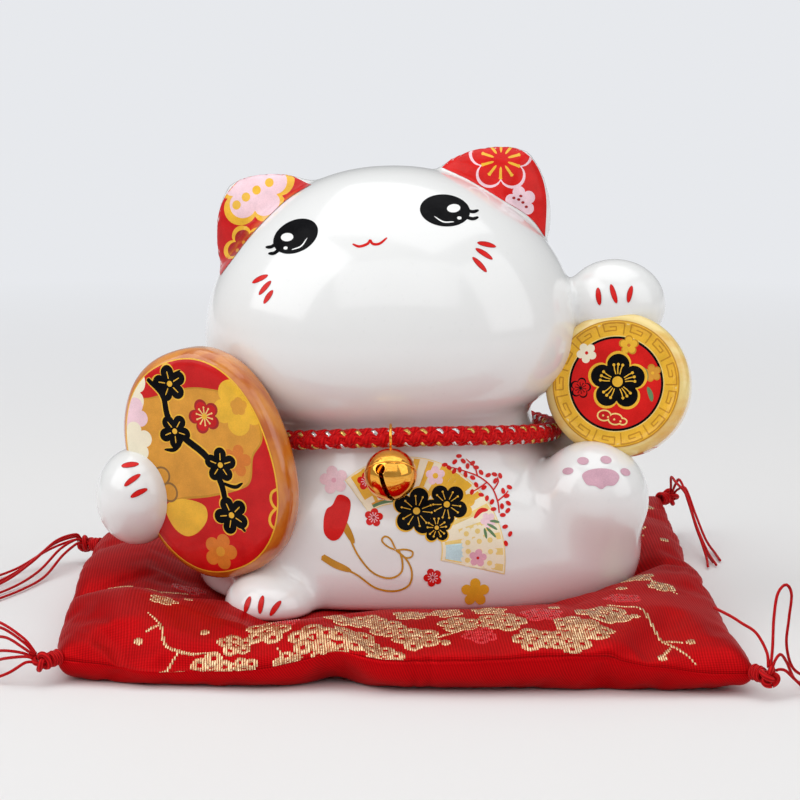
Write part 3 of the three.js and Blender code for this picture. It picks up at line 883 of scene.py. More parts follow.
@dataclass(frozen=True)
class FacePrint:
    """The eyes, mouth and whisker marks, printed on the head."""

    eyes: tuple[tuple[float, float, float, float, float], ...] = (
        (-29.0, 105.5, 6.6, 4.7, 24),
        (12.5, 112.7, 7.0, 4.75, -3),
    )

    def build(self, surface: BVHTree) -> bpy.types.Object:
        """Prints the face on to the skin."""
        art = body_artwork("face_print", 1.0)
        for side, (x, y, wide, high, turn) in zip((-1, 1), self.eyes):
            self.eye(art, (x, y), (wide, high), turn, side)
        art.put(
            Ink.BRIGHT_RED,
            stroke([(-13.0, 102.9), (-11.2, 102.2), (-9.0, 102.9), (-8.2, 104.0)], 0.75, (0.5, 0.9)),
        )
        art.put(
            Ink.BRIGHT_RED,
            stroke([(-8.2, 104.0), (-7.4, 102.9), (-5.6, 103.0), (-3.6, 104.6)], 0.75, (0.9, 0.5)),
        )
        left = [
            ((-41.0, 92.6), (-36.6, 94.6)), ((-39.0, 89.2), (-35.7, 92.9)), ((-37.6, 86.7), (-35.1, 90.3)),
        ]
        right = [((21.4, 103.5), (26.5, 102.5)), ((20.9, 101.8), (25.5, 98.9)), ((20.0, 99.3), (23.8, 95.3))]
        for start, end in left + right:
            middle = ((start[0] + end[0]) / 2, (start[1] + end[1]) / 2 + 0.1)
            art.put(Ink.DARK_RED, stroke([start, middle, end], 1.5, (0.25, 0.25)))
            art.put(Ink.BRIGHT_RED, stroke([start, middle, end], 1.15, (0.2, 0.2)))
        return dress_print(art.press(surface), "cat")

    @staticmethod
    def eye(
        art: Artwork, middle: tuple[float, float], semi: tuple[float, float], turn: float, side: int,
    ) -> None:
        """Lays one eye with its lights and lashes.

        Args:
            art: What it is laid on.
            middle: Its middle on the sheet.
            semi: Its half-width and half-height.
            turn: Its turn in degrees.
            side: -1 for the eye on the viewer's left, 1 for the other.
        """
        wide, high = semi

        def at(along: float, up: float) -> Points:
            """A place of the eye, from its middle outwards and upwards."""
            return moved(np.array([[side * along, up]]), middle, turn)[0]

        art.put(Ink.BLACK, ellipse(middle, semi, turn, 48))
        for rise in (0.14, -0.3):
            start = at(0.8 * wide, rise * high)
            bend = at(1.1 * wide, (rise - 0.1) * high)
            tip = at(1.34 * wide, (rise + 0.03) * high)
            art.put(Ink.BLACK, stroke([start, bend, tip], 1.0, (1.3, 0.45)))
        art.put(
            Ink.WHITE,
            ellipse(at(0.34 * wide, 0.16 * high), (0.27 * wide, 0.26 * high), turn * 0.5 + 12 * side, 24),
            ellipse(at(0.58 * wide, -0.42 * high), (0.09 * wide, 0.1 * high), 0, 14),
            stroke(
                [
                    at(0.36 * wide, -0.68 * high), at(-0.05 * wide, -0.72 * high),
                    at(-0.42 * wide, -0.42 * high),
                ],
                0.4, (0.5, 0.2),
            ),
        )


def dress_print(piece: bpy.types.Object, body: str = "cat") -> bpy.types.Object:
    """Lets a printed sheet move with what it is printed on."""
    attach(piece, body)
    return piece


# ---------------------------------------------------------------- what the cat holds


@dataclass(frozen=True)
class Pose:
    """Where a flat piece stands. It faces -Y before it is turned.

    Attributes:
        centre: Its middle.
        turn: Its turn in degrees about X, then Y, then Z.
    """

    centre: Triple
    turn: Triple

    def axis(self, which: int) -> Triple:
        """The direction that the piece's own X, Y or Z takes."""
        return tuple(float(v) for v in turning(self.turn)[:, which])

    def front(self, height: float) -> Triple:
        """The point that lies height millimetres in front of its middle."""
        return tuple(float(v) for v in np.array(self.centre) - height * np.array(self.axis(1)))

    def place(self, piece: bpy.types.Object) -> None:
        """Turns a piece modelled about the origin, facing +Z, and moves it here."""
        facing = turning(self.turn) @ turning((90, 0, 0))
        move_points(piece, points_of(piece) @ facing.T + np.array(self.centre))


def select_edges(piece: bpy.types.Object, wanted: Callable[[bpy.types.MeshEdge, Points], bool]) -> None:
    """Selects the edges that a test picks by their two ends, in millimetres, and goes to edit mode."""
    activate(piece)
    bpy.ops.object.mode_set(mode="EDIT")
    bpy.ops.mesh.select_mode(type="EDGE")
    bpy.ops.mesh.select_all(action="DESELECT")
    bpy.ops.object.mode_set(mode="OBJECT")
    points = points_of(piece)
    for edge in piece.data.edges:
        edge.select = bool(wanted(edge, points[list(edge.vertices)]))
    bpy.ops.object.mode_set(mode="EDIT")


def slab(
    outline: Callable[[Points], Points], thick: float, edge: float, rim: float, sunk: float,
    around: int = 96,
) -> bpy.types.Object:
    """A flat piece with soft edges and a front field a little sunk inside its rim.

    Args:
        outline: Turns points of the unit circle into the piece's outline.
        thick: Its thickness.
        edge: The radius of its outer edges.
        rim: The width of the rim round the front field.
        sunk: How deep the field lies.
        around: How many points go round it.

    Returns:
        The piece, about the origin, its front towards +Z.
    """
    deselect()
    bpy.ops.mesh.primitive_cylinder_add(vertices=around, radius=1, depth=thick * MM, end_fill_type="NGON")
    piece = bpy.context.object
    points = points_of(piece)
    points[:, :2] = outline(points[:, :2] * MM)
    move_points(piece, points)
    select_edges(piece, lambda edge_, ends: abs(ends[0, 2] - ends[1, 2]) < 0.01)
    bpy.ops.mesh.bevel(offset=edge * MM, segments=9, profile=0.5, affect="EDGES")
    bpy.ops.mesh.select_mode(type="FACE")
    bpy.ops.mesh.select_all(action="DESELECT")
    bpy.ops.object.mode_set(mode="OBJECT")
    for face in piece.data.polygons:
        face.select = len(face.vertices) > 8
    bpy.ops.object.mode_set(mode="EDIT")
    bpy.ops.mesh.inset(thickness=max(rim - edge, 0.15) * MM)
    bpy.ops.mesh.inset(thickness=0.35 * MM)
    bpy.ops.transform.shrink_fatten(value=-0.5 * sunk * MM)
    bpy.ops.mesh.inset(thickness=0.35 * MM)
    bpy.ops.transform.shrink_fatten(value=-0.5 * sunk * MM)
    reach = float(np.ptp(points[:, :2], axis=0).min()) / 2
    for share in (0.34, 0.5, 0.4):
        bpy.ops.mesh.inset(thickness=share * (reach - rim) * 0.5 * MM)
    bpy.ops.object.mode_set(mode="OBJECT")
    piece.data.shade_smooth()
    return piece


@dataclass(frozen=True)
class Coin:
    """The round coin under the raised paw, with its printed face."""

    pose: Pose = Pose((62, -17, 68.2), (-14, 0, -13))
    radius: float = 20.6
    thick: float = 11.0
    edge: float = 3.4
    rim: float = 3.0
    sunk: float = 0.5
    ring: tuple[float, float] = (13.6, 18.0)
    disc: float = 13.4
    frets: int = 13

    def build(self) -> list[bpy.types.Object]:
        """Models the coin and prints its face."""
        body = named(
            slab(lambda unit: unit * self.radius, self.thick, self.edge, self.rim, self.sunk), "coin_body",
        )
        self.pose.place(body)
        body.data.materials.append(YELLOW_GLAZE.build())
        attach(body, "cat")
        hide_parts("coin")
        art = Artwork(
            "coin_print", self.pose.front(self.thick / 2), self.pose.axis(0), self.pose.axis(2), 1.0,
        )
        self.draw(art)
        return [body, dress_print(art.press(surface_of(body), 0.12))]

    def draw(self, art: Artwork) -> None:
        """Draws the key-fret ring and the red disc with its blossoms."""
        low, high = self.ring
        art.put(Ink.OCHRE, ellipse((0, 0), (high, high), 0, 96))
        art.put(Ink.YELLOW, ellipse((0, 0), (high - 0.35, high - 0.35), 0, 96))
        art.put(
            Ink.OCHRE,
            *[
                line
                for k in range(self.frets)
                for line in self.fret(360 * k / self.frets, low + 0.5, high - 0.75)
            ],
        )
        art.put(Ink.PALE_YELLOW, ellipse((0, 0), (self.disc + 0.25, self.disc + 0.25), 0, 80))
        art.put(Ink.BLACK, ellipse((0, 0), (self.disc, self.disc), 0, 80))
        art.put(Ink.BRIGHT_RED, ellipse((0, 0), (self.disc - 0.65, self.disc - 0.65), 0, 80))
        art.flower((3.1, 11.0), 2.9, 20, Ink.YELLOW, Ink.OCHRE, Ink.AMBER)
        art.flower((-8.8, 8.4), 2.9, 50, Ink.CREAM, None, Ink.BRIGHT_RED)
        art.flower((-10.0, -1.6), 3.0, 10, Ink.BRIGHT_RED, Ink.BLACK, None, Ink.BLACK)
        art.flower((10.2, 3.4), 2.6, 33, Ink.GOLD, Ink.OCHRE, Ink.YELLOW)
        art.put(
            Ink.LEAF, stroke([(6.8, 5.0), (8.0, 3.6), (8.8, 1.4)], 1.5, (0.2, 0.2)),
            stroke([(9.0, -0.6), (9.9, -2.6), (10.4, -4.6)], 1.4, (0.2, 0.2)),
        )
        self.cloud(art, (-0.6, -9.7))
        self.emblem(art)

    @staticmethod
    def emblem(art: Artwork) -> None:
        """Draws the large black plum blossom edged with gold in the middle."""
        art.put(Ink.YELLOW, blossom((0.4, 0.6), 8.7, 18, 0.3))
        art.put(Ink.BLACK, blossom((0.4, 0.6), 7.9, 18, 0.32))
        rays = [
            moved(np.array([[2.2, 0.0], [3.6, 0.1], [4.9, 0]]), (0.4, 0.6), 18 + 72 * k + turn)
            for k in range(5)
            for turn in (-15, 0, 15)
        ]
        art.put(Ink.YELLOW, *[stroke(ray, 0.3, (1, 0.7), 3) for ray in rays])
        art.put(Ink.YELLOW, *[ellipse(ray[-1], (0.42, 0.42), 0, 12) for ray in rays])
        art.put(Ink.YELLOW, ellipse((0.4, 0.6), (1.5, 1.5), 0, 24))

    @staticmethod
    def cloud(art: Artwork, middle: tuple[float, float]) -> None:
        """Draws the little gold-edged cloud at the bottom of the disc."""
        puffs = (((-2.3, 0.6), 2.1), ((0.9, -0.3), 2.2), ((3.0, -0.9), 1.4))
        for ink, swell in ((Ink.PALE_YELLOW, 0.0), (Ink.RED, -0.4)):
            art.put(
                ink,
                *[ellipse(np.array(middle) + p, (r + swell, 0.8 * r + swell), 0, 24) for p, r in puffs],
            )
        art.put(
            Ink.PALE_YELLOW,
            *[
                ellipse(np.array(middle) + p, (0.3, 0.3), 0, 8)
                for p in ((-2.6, 0.6), (-1.2, 0.2), (0.6, -0.4), (2.4, -0.9))
            ],
        )

    def fret(self, angle: float, low: float, high: float) -> list[Points]:
        """One square hook of the key fret, bent round the ring.

        Args:
            angle: Where it starts, in degrees.
            low: The radius of its foot.
            high: The radius of its top.

        Returns:
            The outlines of its strokes.
        """
        step = 360 / self.frets
        height = high - low
        path = ((0.04, 0.0), (0.04, 1.0), (0.8, 1.0), (0.8, 0.32), (0.34, 0.32), (0.34, 0.66), (0.58, 0.66))
        strokes = []
        for start, end in zip(path, path[1:]):
            along = np.linspace(start, end, 5)
            turn = np.radians(angle + step * along[:, 0])
            radius = low + height * along[:, 1]
            line = np.column_stack([radius * np.cos(turn), radius * np.sin(turn)])
            strokes.append(stroke(line, 0.42, (1, 1), 2))
        return strokes


@dataclass(frozen=True)
class Koban:
    """The long gold piece under the other paw, with its printed face."""

    pose: Pose = Pose((-52.9, -31, 48.7), (0, -20, -25))
    semi: tuple[float, float] = (24.6, 32.8)
    power: float = 2.25
    thick: float = 12.0
    edge: float = 4.6
    rim: float = 4.9
    sunk: float = 0.0

    def outline(self, unit: Points, inset: float = 0.0) -> Points:
        """Points of the unit circle drawn out to the long oval."""
        reach = (np.abs(unit) ** self.power).sum(axis=1) ** (-1 / self.power)
        return unit * reach[:, None] * (np.array(self.semi) - inset)

    def field_outline(self, inset: float, steps: int = 90) -> Points:
        """The oval drawn in by inset."""
        angle = np.linspace(0, 2 * math.pi, steps, endpoint=False)
        return self.outline(np.column_stack([np.cos(angle), np.sin(angle)]), inset)

    def build(self) -> list[bpy.types.Object]:
        """Models the koban and prints its face."""
        body = named(slab(self.outline, self.thick, self.edge, self.rim, self.sunk), "koban_body")
        self.pose.place(body)
        body.data.materials.append(AMBER_GLAZE.build())
        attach(body, "cat")
        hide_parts("koban")
        art = Artwork(
            "koban_print", self.pose.front(self.thick / 2), self.pose.axis(0), self.pose.axis(2), 1.0,
        )
        self.draw(art)
        return [body, dress_print(art.press(surface_of(body), 0.12))]

    def clipped(self, shape: Points, inset: float) -> Points:
        """A shape with what lies outside the printed field drawn in to its edge."""
        a, b = np.array(self.semi) - inset
        reach = ((np.abs(shape) / (a, b)) ** self.power).sum(axis=1) ** (1 / self.power)
        return shape / np.maximum(reach, 1)[:, None]

    def draw(self, art: Artwork) -> None:
        """Draws the field: red and amber clouds, blossoms and a dark plum branch."""
        edge = 2.7
        art.put(Ink.YELLOW, self.field_outline(edge - 0.35))
        art.put(Ink.RED, self.field_outline(edge))

        def put(ink: Ink, *shapes: Points) -> None:
            """Lays shapes of one ink, kept inside the field."""
            art.put(ink, *[self.clipped(shape, edge + 0.03) for shape in shapes])

        ground = smooth_line(
            [
                (-19, 24), (-9, 22.5), (4, 21.8), (13, 18.5), (20, 15), (22, 8), (21.2, 1.5), (17, -2),
                (14, -8), (10, -9.5), (0, -9), (-8, -7.5), (-16, -5.5), (-20, 6),
            ],
            5, closed=True,
        )
        put(Ink.OCHRE, ground)
        put(Ink.GOLD, moved(ground, (0.2, 0.3), 0, 0.965))
        put(Ink.YELLOW, blossom((17.5, 12.5), 8.2, 35, 0.3))
        put(Ink.GOLD, blossom((17.5, 12.5), 2.6, 0, 0.2))
        put(Ink.CREAM, blossom((-16, 27), 7.6, 10, 0.3))
        put(Ink.PALE_PINK, blossom((-16.5, 19.5), 5.6, 40, 0.3))
        put(Ink.CREAM, blossom((-18, 12.0), 5.8, 0, 0.3))
        put(Ink.AMBER, blossom((11.6, -1.6), 4.6, 60, 0.4))
        cloud = smooth_line(
            [
                (-15, -8), (-10, -7), (-5, -9), (-2.5, -11.5), (-3.5, -15), (-7.5, -17.5), (-11.5, -17.5),
                (-14.5, -14),
            ],
            5, closed=True,
        )
        put(Ink.YELLOW, cloud)
        put(Ink.AMBER, blossom((-2.4, -24.4), 5.2, 54, 0.34))
        put(Ink.GOLD, ellipse((-2.4, -24.4), (1.4, 1.4), 0, 16))
        for ink, swell in ((Ink.YELLOW, 0.0), (Ink.RED, -0.75)):
            put(
                ink, ellipse((20.2, -15.4), (2.6 + swell, 3.3 + swell), 0, 28),
                ellipse((19.4, -20.6), (4.3 + swell, 3.6 + swell), 15, 28),
            )
        put(
            Ink.YELLOW,
            *[ellipse(p, (0.45, 0.45), 0, 10) for p in ((19.4, -19.6), (20.6, -16.2), (17.6, -20.6))],
        )
        for ink, swell in ((Ink.BROWN, 0.0), (Ink.GOLD, -0.6)):
            put(
                ink, ellipse((-13.2, 0.6), (3.0 + swell, 2.8 + swell), 0, 24),
                ellipse((-12.2, -4.4), (2.7 + swell, 2.9 + swell), 0, 24),
            )
        art.flower((6.2, 12.8), 5.0, 22, Ink.RED, Ink.DARK_RED, Ink.YELLOW, Ink.PALE_YELLOW)
        self.branch(art)

    @staticmethod
    def branch(art: Artwork) -> None:
        """Draws the dark branch with four large blossoms down the field, edged with yellow."""
        boughs = (
            (
                [
                    (-7.5, 27.5), (-4.5, 22.0), (-5.0, 15.5), (-2.2, 9.0), (2.8, 2.0), (4.6, -6.0),
                    (4.2, -14.0), (7.2, -21.0),
                ],
                2.0,
            ),
            ([(-2.2, 9.0), (-6.0, 6.6), (-9.4, 7.4)], 1.2),
            ([(4.6, -6.0), (8.4, -8.4), (11.2, -8.0)], 1.1),
            ([(-4.6, 21.5), (-1.4, 25.6), (3.4, 27.0)], 1.2),
        )
        heads = (
            ((-1.2, 24.4), 5.3, 12), ((-4.4, 11.4), 5.0, 40), ((6.2, -1.4), 5.0, 0),
            ((4.6, -15.6), 5.4, 25),
        )
        for ink, swell in ((Ink.YELLOW, 0.9), (Ink.BLACK, 0.0)):
            art.put(ink, *[stroke(points, width + swell, (0.6, 0.35)) for points, width in boughs])
            art.put(
                ink, *[blossom(middle, radius + 0.5 * swell, turn, 0.36) for middle, radius, turn in heads],
            )
        for middle, radius, turn in heads:
            rays = [
                moved(
                    np.array([[0.28 * radius, 0.0], [0.45 * radius, 0], [0.66 * radius, 0]]), middle,
                    turn + 72 * k,
                )
                for k in range(5)
            ]
            art.put(
                Ink.YELLOW, *[stroke(ray, 0.3, (1, 0.7), 3) for ray in rays],
                ellipse(middle, (0.16 * radius, 0.16 * radius), 0, 14),
            )


AMBER_GLAZE = Glaze("amber_glaze", (0.72, 0.26, 0.025), (0.5, 0.11, 0.009), (1.0, 2.4, 0.5), 9, 0.38, 0.66)
YELLOW_GLAZE = Glaze("yellow_glaze", (0.86, 0.66, 0.24), (0.78, 0.42, 0.05), (0.7, 1.6, 2.0), 12, 0.42, 0.7)


# ---------------------------------------------------------------- more printing on the body


@dataclass(frozen=True)
class EarPrint:
    """The red front of one ear with its blossoms.

    Attributes:
        side: left or right.
        outline: The print's outline.
        corners: Which two of its points are sharp.
    """

    side: str
    outline: tuple[tuple[float, float], ...]
    corners: tuple[int, ...]

    def build(self, surface: BVHTree) -> bpy.types.Object:
        """Prints the ear."""
        art = body_artwork(f"ear_print_{self.side}", 0.55)
        art.put(Ink.BRIGHT_RED if self.side == "right" else Ink.RED, self.ground())
        if self.side == "left":
            self.draw_left(art)
        else:
            self.draw_right(art)
        return dress_print(art.press(surface, 0.12, 60))

    def ground(self) -> Points:
        """The outline, smooth except at its two sharp corners."""
        first, second = self.corners
        points = list(self.outline)
        arc = smooth_line(points[first:second + 1], 7)
        crease = smooth_line(points[second:] + points[:first + 1], 7)
        middle = arc.mean(axis=0)
        wider = 1 + 0.15 * np.sin(np.linspace(0, math.pi, len(arc)))[:, None]
        return np.vstack([(middle + (arc - middle) * wider)[:-1], crease[:-1]])

    def keep(self, shape: Points) -> Points:
        """A shape with what lies outside the ear's print drawn in to its edge."""
        ground = self.ground()
        middle = ground.mean(axis=0)
        kept = shape.copy()
        for i in np.flatnonzero(~inside(shape, ground)):
            for share in np.linspace(0.98, 0, 50):
                point = middle + share * (shape[i] - middle)
                if inside(point[None], ground)[0]:
                    kept[i] = point
                    break
        return kept

    def draw_left(self, art: Artwork) -> None:
        """A large pink blossom edged with gold above a smaller red one."""
        art.put(Ink.YELLOW, self.keep(blossom((-41.6, 120.6), 11.8, 20, 0.3)))
        art.put(Ink.PALE_PINK, self.keep(blossom((-41.6, 120.6), 9.6, 20, 0.32)))
        art.put(
            Ink.YELLOW,
            *[
                self.keep(ellipse(p, (1.25, 1.35), 0, 18))
                for p in ((-46.7, 115.8), (-41.0, 120.0), (-44.0, 118.0), (-37.4, 122.2))
            ],
        )
        art.put(Ink.YELLOW, self.keep(blossom((-43.6, 103.2), 7.0, 40, 0.3)))
        art.put(Ink.DARK_RED, self.keep(blossom((-43.6, 103.2), 5.7, 40, 0.32)))
        art.put(
            Ink.OCHRE,
            *[
                self.keep(ellipse(p, (0.55, 0.6), 0, 10))
                for p in ((-44.2, 104.6), (-46.0, 102.4), (-43.2, 101.2), (-45.0, 99.8))
            ],
        )

    def draw_right(self, art: Artwork) -> None:
        """A large red blossom edged with pale pink and full of stamens, and a small pink one."""
        middle = (28.8, 128.6)
        art.put(Ink.PALE_PINK, self.keep(blossom(middle, 9.4, -55, 0.34)))
        art.put(Ink.BRIGHT_RED, self.keep(blossom(middle, 8.5, -55, 0.35)))
        rays = [moved(np.array([[2.2, 0], [4.0, 0], [5.6, 0]]), middle, 36 * k - 20) for k in range(10)]
        art.put(Ink.YELLOW, *[self.keep(stroke(ray, 0.75, (0.4, 1.4), 4)) for ray in rays])
        art.put(Ink.PALE_PINK, self.keep(blossom((34.4, 116.6), 4.5, 30, 0.32)))
        art.put(
            Ink.DARK_RED,
            *[
                self.keep(ellipse(p, (0.5, 0.4), 0, 10))
                for p in ((32.4, 117.6), (33.8, 117.2), (35.0, 116.4), (36.0, 115.2), (34.4, 118.2))
            ],
        )


EAR_PRINTS = (
    EarPrint(
        "left",
        (
            (-51.0, 95.4), (-52.3, 101.5), (-52.1, 109.0), (-50.2, 116.4), (-46.4, 121.6), (-41.5, 124.6),
            (-36.5, 124.9), (-31.2, 123.6), (-25.2, 121.3), (-31.6, 117.2), (-37.2, 111.8), (-42.8, 105.6),
            (-47.0, 100.2),
        ),
        (0, 8),
    ),
    EarPrint(
        "right",
        (
            (12.0, 126.6), (17.0, 129.8), (23.0, 131.9), (30.0, 132.2), (35.6, 129.8), (39.2, 125.0),
            (41.2, 118.0), (41.6, 106.8), (37.0, 112.2), (28.5, 117.2), (20.0, 122.4),
        ),
        (0, 7),
    ),
)


@dataclass(frozen=True)
class PawPrint:
    """The red claw marks and the pink pads of the paws and feet."""

    def build(self, surface: BVHTree) -> bpy.types.Object:
        """Prints them."""
        art = body_artwork("paw_print", 0.7)
        marks = (
            ((56.0, 91.7), (56.4, 86.9)), ((59.6, 92.6), (61.1, 87.4)), ((65.5, 92.2), (64.4, 87.6)),
            ((-77.8, 41.5), (-73.1, 42.1)), ((-76.7, 36.1), (-72.5, 39.2)), ((-74.9, 33.0), (-70.5, 35.2)),
            ((-41.2, 5.8), (-42.6, 1.6)), ((-37.7, 6.1), (-38.5, 1.4)), ((-32.8, 4.7), (-35.6, 0.9)),
        )
        for start, end in marks:
            middle = ((start[0] + end[0]) / 2 - 0.1, (start[1] + end[1]) / 2 + 0.1)
            art.put(Ink.DARK_RED, stroke([start, middle, end], 1.55, (0.3, 0.3)))
            art.put(Ink.BRIGHT_RED, stroke([start, middle, end], 1.2, (0.25, 0.25)))
        art.put(
            Ink.MAUVE, ellipse((46.8, 40.2), (1.5, 0.95), 10, 24),
            ellipse((51.0, 43.0), (1.6, 1.05), 0, 24),
        )
        art.put(
            Ink.MAUVE, ellipse((57.4, 43.3), (1.6, 1.05), -8, 24),
            ellipse((62.8, 39.9), (1.5, 1.0), -20, 24),
        )
        art.put(
            Ink.MAUVE,
            smooth_line(
                [
                    (50.6, 39.0), (52.2, 40.4), (55.8, 41.0), (59.4, 40.4), (61.0, 38.6), (59.6, 36.4),
                    (57.4, 36.2), (55.8, 35.3), (54.0, 36.2), (51.8, 36.6),
                ],
                5, closed=True,
            ),
        )
        return dress_print(art.press(surface, 0.13))


@dataclass(frozen=True)
class BellyPrint:
    """The open fan, blossoms, berry spray, bare tag and gold cord printed on the belly."""

    pivot: tuple[float, float] = (-1.1, 18.4)
    fan_angles: tuple[float, float] = (-12.4, 126.0)
    pleats: int = 16

    def outer(self, angle: Points) -> Points:
        """The fan's outer radius at an angle in radians."""
        return 30.0 - 6.2 * np.degrees(angle) / 126

    def band(self, low: float, high: float) -> tuple[Callable, Callable]:
        """Two radii between the fan's inner and outer edges, as shares of the way."""
        return tuple((lambda angle, s=s: 13.0 + s * (self.outer(angle) - 13.0)) for s in (low, high))

    def build(self, surface: BVHTree) -> bpy.types.Object:
        """Prints the belly."""
        art = body_artwork("belly_print", 0.6)
        self.fan(art)
        self.spray(art)
        self.scatter(art)
        self.tag(art)
        self.emblem(art)
        return dress_print(art.press(surface, 0.13))

    def fan(self, art: Artwork) -> None:
        """The fan: pleats of gold and cream with a lace end and small blossoms."""
        low, high = self.fan_angles
        art.put(Ink.PALE_YELLOW, sector(self.pivot, self.band(-0.02, 1.015), (low - 0.4, high + 0.4), 60))
        art.put(Ink.CREAM, sector(self.pivot, self.band(0, 1), (low, high), 60))
        step = (high - low) / self.pleats
        for k in range(self.pleats):
            start = low + k * step
            ink = Ink.YELLOW if 4 < k < 15 else Ink.PALE_YELLOW
            art.put(
                ink,
                sector(
                    self.pivot, self.band(0.32 if k % 2 else 0.04, 0.98),
                    (start + 0.12 * step, start + 0.55 * step), 5,
                ),
            )
        art.put(
            Ink.YELLOW, sector(self.pivot, self.band(0.45, 0.97), (40, 58), 10),
            sector(self.pivot, self.band(0.3, 0.96), (108, 122), 10),
        )
        art.put(
            Ink.SKY, sector(self.pivot, self.band(0.03, 0.3), (76, 108), 16),
            sector(self.pivot, self.band(0.05, 0.36), (-10, 6), 10),
        )
        art.put(Ink.LEAF, sector(self.pivot, self.band(0.02, 0.1), (84, 118), 16))
        art.put(Ink.GOLD, sector(self.pivot, self.band(0.1, 0.14), (80, 118), 16))
        lace = [
            moved(np.array([[r, 0]]), self.pivot, a)[0]
            for r in (20.0, 23.2, 26.2)
            for a in (-8, -1, 6, 13)
        ]
        art.put(Ink.CREAM, *[blossom(p, 1.9, 10, 0.25, 7) for p in lace])
        art.put(Ink.PALE_YELLOW, *[ellipse(p, (0.75, 0.75), 0, 12) for p in lace])
        art.put(Ink.YELLOW, blossom((16.6, 31.2), 4.4, 20, 0.3))
        art.put(Ink.PALE_PINK, blossom((9.8, 39.0), 2.7, 20), blossom((24.5, 26.6), 2.2, 50))
        art.put(Ink.YELLOW, ellipse((9.8, 39.0), (0.8, 0.8), 0, 12))
        art.flower((21.6, 16.2), 2.5, 10, Ink.PINK, None, Ink.RED)
        art.put(Ink.BRIGHT_RED, stroke([(20.6, 27.2), (22.4, 29.2), (24.4, 29.4)], 1.3))
        leaves = (
            ((24.2, 25.6), (27.0, 24.0)), ((24.0, 24.6), (26.6, 21.9)), ((23.4, 24.4), (24.0, 21.6)),
            ((25.0, 26.4), (27.6, 26.0)),
        )
        art.put(
            Ink.LEAF,
            *[stroke([a, ((a[0] + b[0]) / 2, (a[1] + b[1]) / 2 + 0.1), b], 0.8) for a, b in leaves],
        )

    @staticmethod
    def spray(art: Artwork) -> None:
        """The red spray of berries at the fan's edge."""
        stems = (
            [(27.6, 28.6), (27.2, 31.8), (25.6, 35.6), (22.4, 38.4), (18.6, 40.0), (14.0, 41.4)],
            [(26.0, 34.8), (27.4, 37.0), (27.2, 38.4)],
            [(24.2, 37.0), (21.8, 35.4), (20.4, 34.6)],
            [(27.2, 31.8), (29.4, 33.6), (30.2, 34.6)],
            [(21.6, 38.8), (20.8, 41.2), (18.4, 43.6)],
        )
        art.put(Ink.BRIGHT_RED, *[stroke(points, 0.42, (1, 0.5)) for points in stems])
        places = (
            (28.6, 28.0), (30.0, 29.2), (28.4, 30.4), (30.2, 31.2), (26.0, 29.6), (25.6, 31.6), (28.8, 34.6),
            (30.6, 35.6), (29.8, 33.2), (26.6, 37.4), (28.0, 38.8), (26.4, 39.2), (24.6, 39.0), (20.0, 34.4),
            (21.2, 36.4), (22.6, 33.6), (23.4, 35.6), (24.2, 32.6), (22.6, 39.8), (21.2, 41.2), (20.2, 42.4),
            (18.8, 41.6), (17.6, 43.0), (16.4, 44.4), (15.2, 42.8), (16.6, 40.6), (13.6, 41.2), (12.4, 42.0),
            (15.0, 40.2), (18.2, 39.2), (20.2, 38.4), (29.2, 24.8), (30.6, 22.8), (29.4, 20.2),
        )
        art.put(Ink.BRIGHT_RED, *[ellipse(p, (0.85, 0.58), 47 * i, 12) for i, p in enumerate(places)])

    @staticmethod
    def scatter(art: Artwork) -> None:
        """The loose blossoms round the fan."""
        art.flower((-18.4, 37.7), 4.0, 30, Ink.PALE_PINK, None, Ink.PINK)
        for middle, radius, turn in (
            ((-7.3, 27.4), 2.6, 10), ((9.1, 10.8), 2.6, 40), ((-9.4, 37.5), 2.5, 25),
        ):
            art.flower(middle, radius, turn, Ink.BRIGHT_RED, None, Ink.DARK_RED, Ink.PALE_PINK)
        art.put(Ink.YELLOW, blossom((20.9, 6.6), 4.0, 18, 0.42))

    def tag(self, art: Artwork) -> None:
        """The bare red tag on its gold cord, with the cord's bow at the fan's pivot."""
        x, y = self.pivot
        lines = (
            (
                [
                    (-15.4, 25.6), (-13.6, 21.0), (-11.4, 16.6), (-7.6, 12.2), (-3.0, 10.6), (0.3, 12.2),
                    (0.6, 15.6), (-0.4, 18.6),
                ],
                0.55,
            ),
            (
                [
                    (-19.6, 15.0), (-12.4, 11.8), (-7.0, 8.0), (-1.6, 7.0), (2.4, 8.6), (3.3, 12.2),
                    (1.8, 15.8), (x, y),
                ],
                0.55,
            ),
            ([(x, y), (-3.4, 19.4), (-5.0, 21.0), (-4.2, 22.2), (-2.6, 21.4), (x, y)], 0.5),
            ([(x, y), (1.4, 18.6), (3.4, 18.0), (3.2, 16.6), (1.4, 16.4), (x, y)], 0.5),
        )
        art.put(Ink.OCHRE, *[stroke(points, width, (1, 1)) for points, width in lines])
        art.put(
            Ink.OCHRE, stroke([(-16.0, 26.6), (-14.8, 24.2), (-12.8, 20.4)], 2.0, (0.8, 0.3)),
            stroke([(-21.4, 16.4), (-18.0, 14.4), (-13.6, 12.6)], 2.0, (0.9, 0.3)),
        )
        outline = [
            (-17.2, 33.6), (-14.6, 33.0), (-13.7, 30.8), (-14.8, 25.6), (-16.6, 21.9), (-18.9, 21.0),
            (-21.0, 23.0), (-21.2, 26.8), (-20.4, 29.6), (-18.8, 30.8),
        ]
        art.put(Ink.BRIGHT_RED, smooth_line(outline, 5, closed=True))

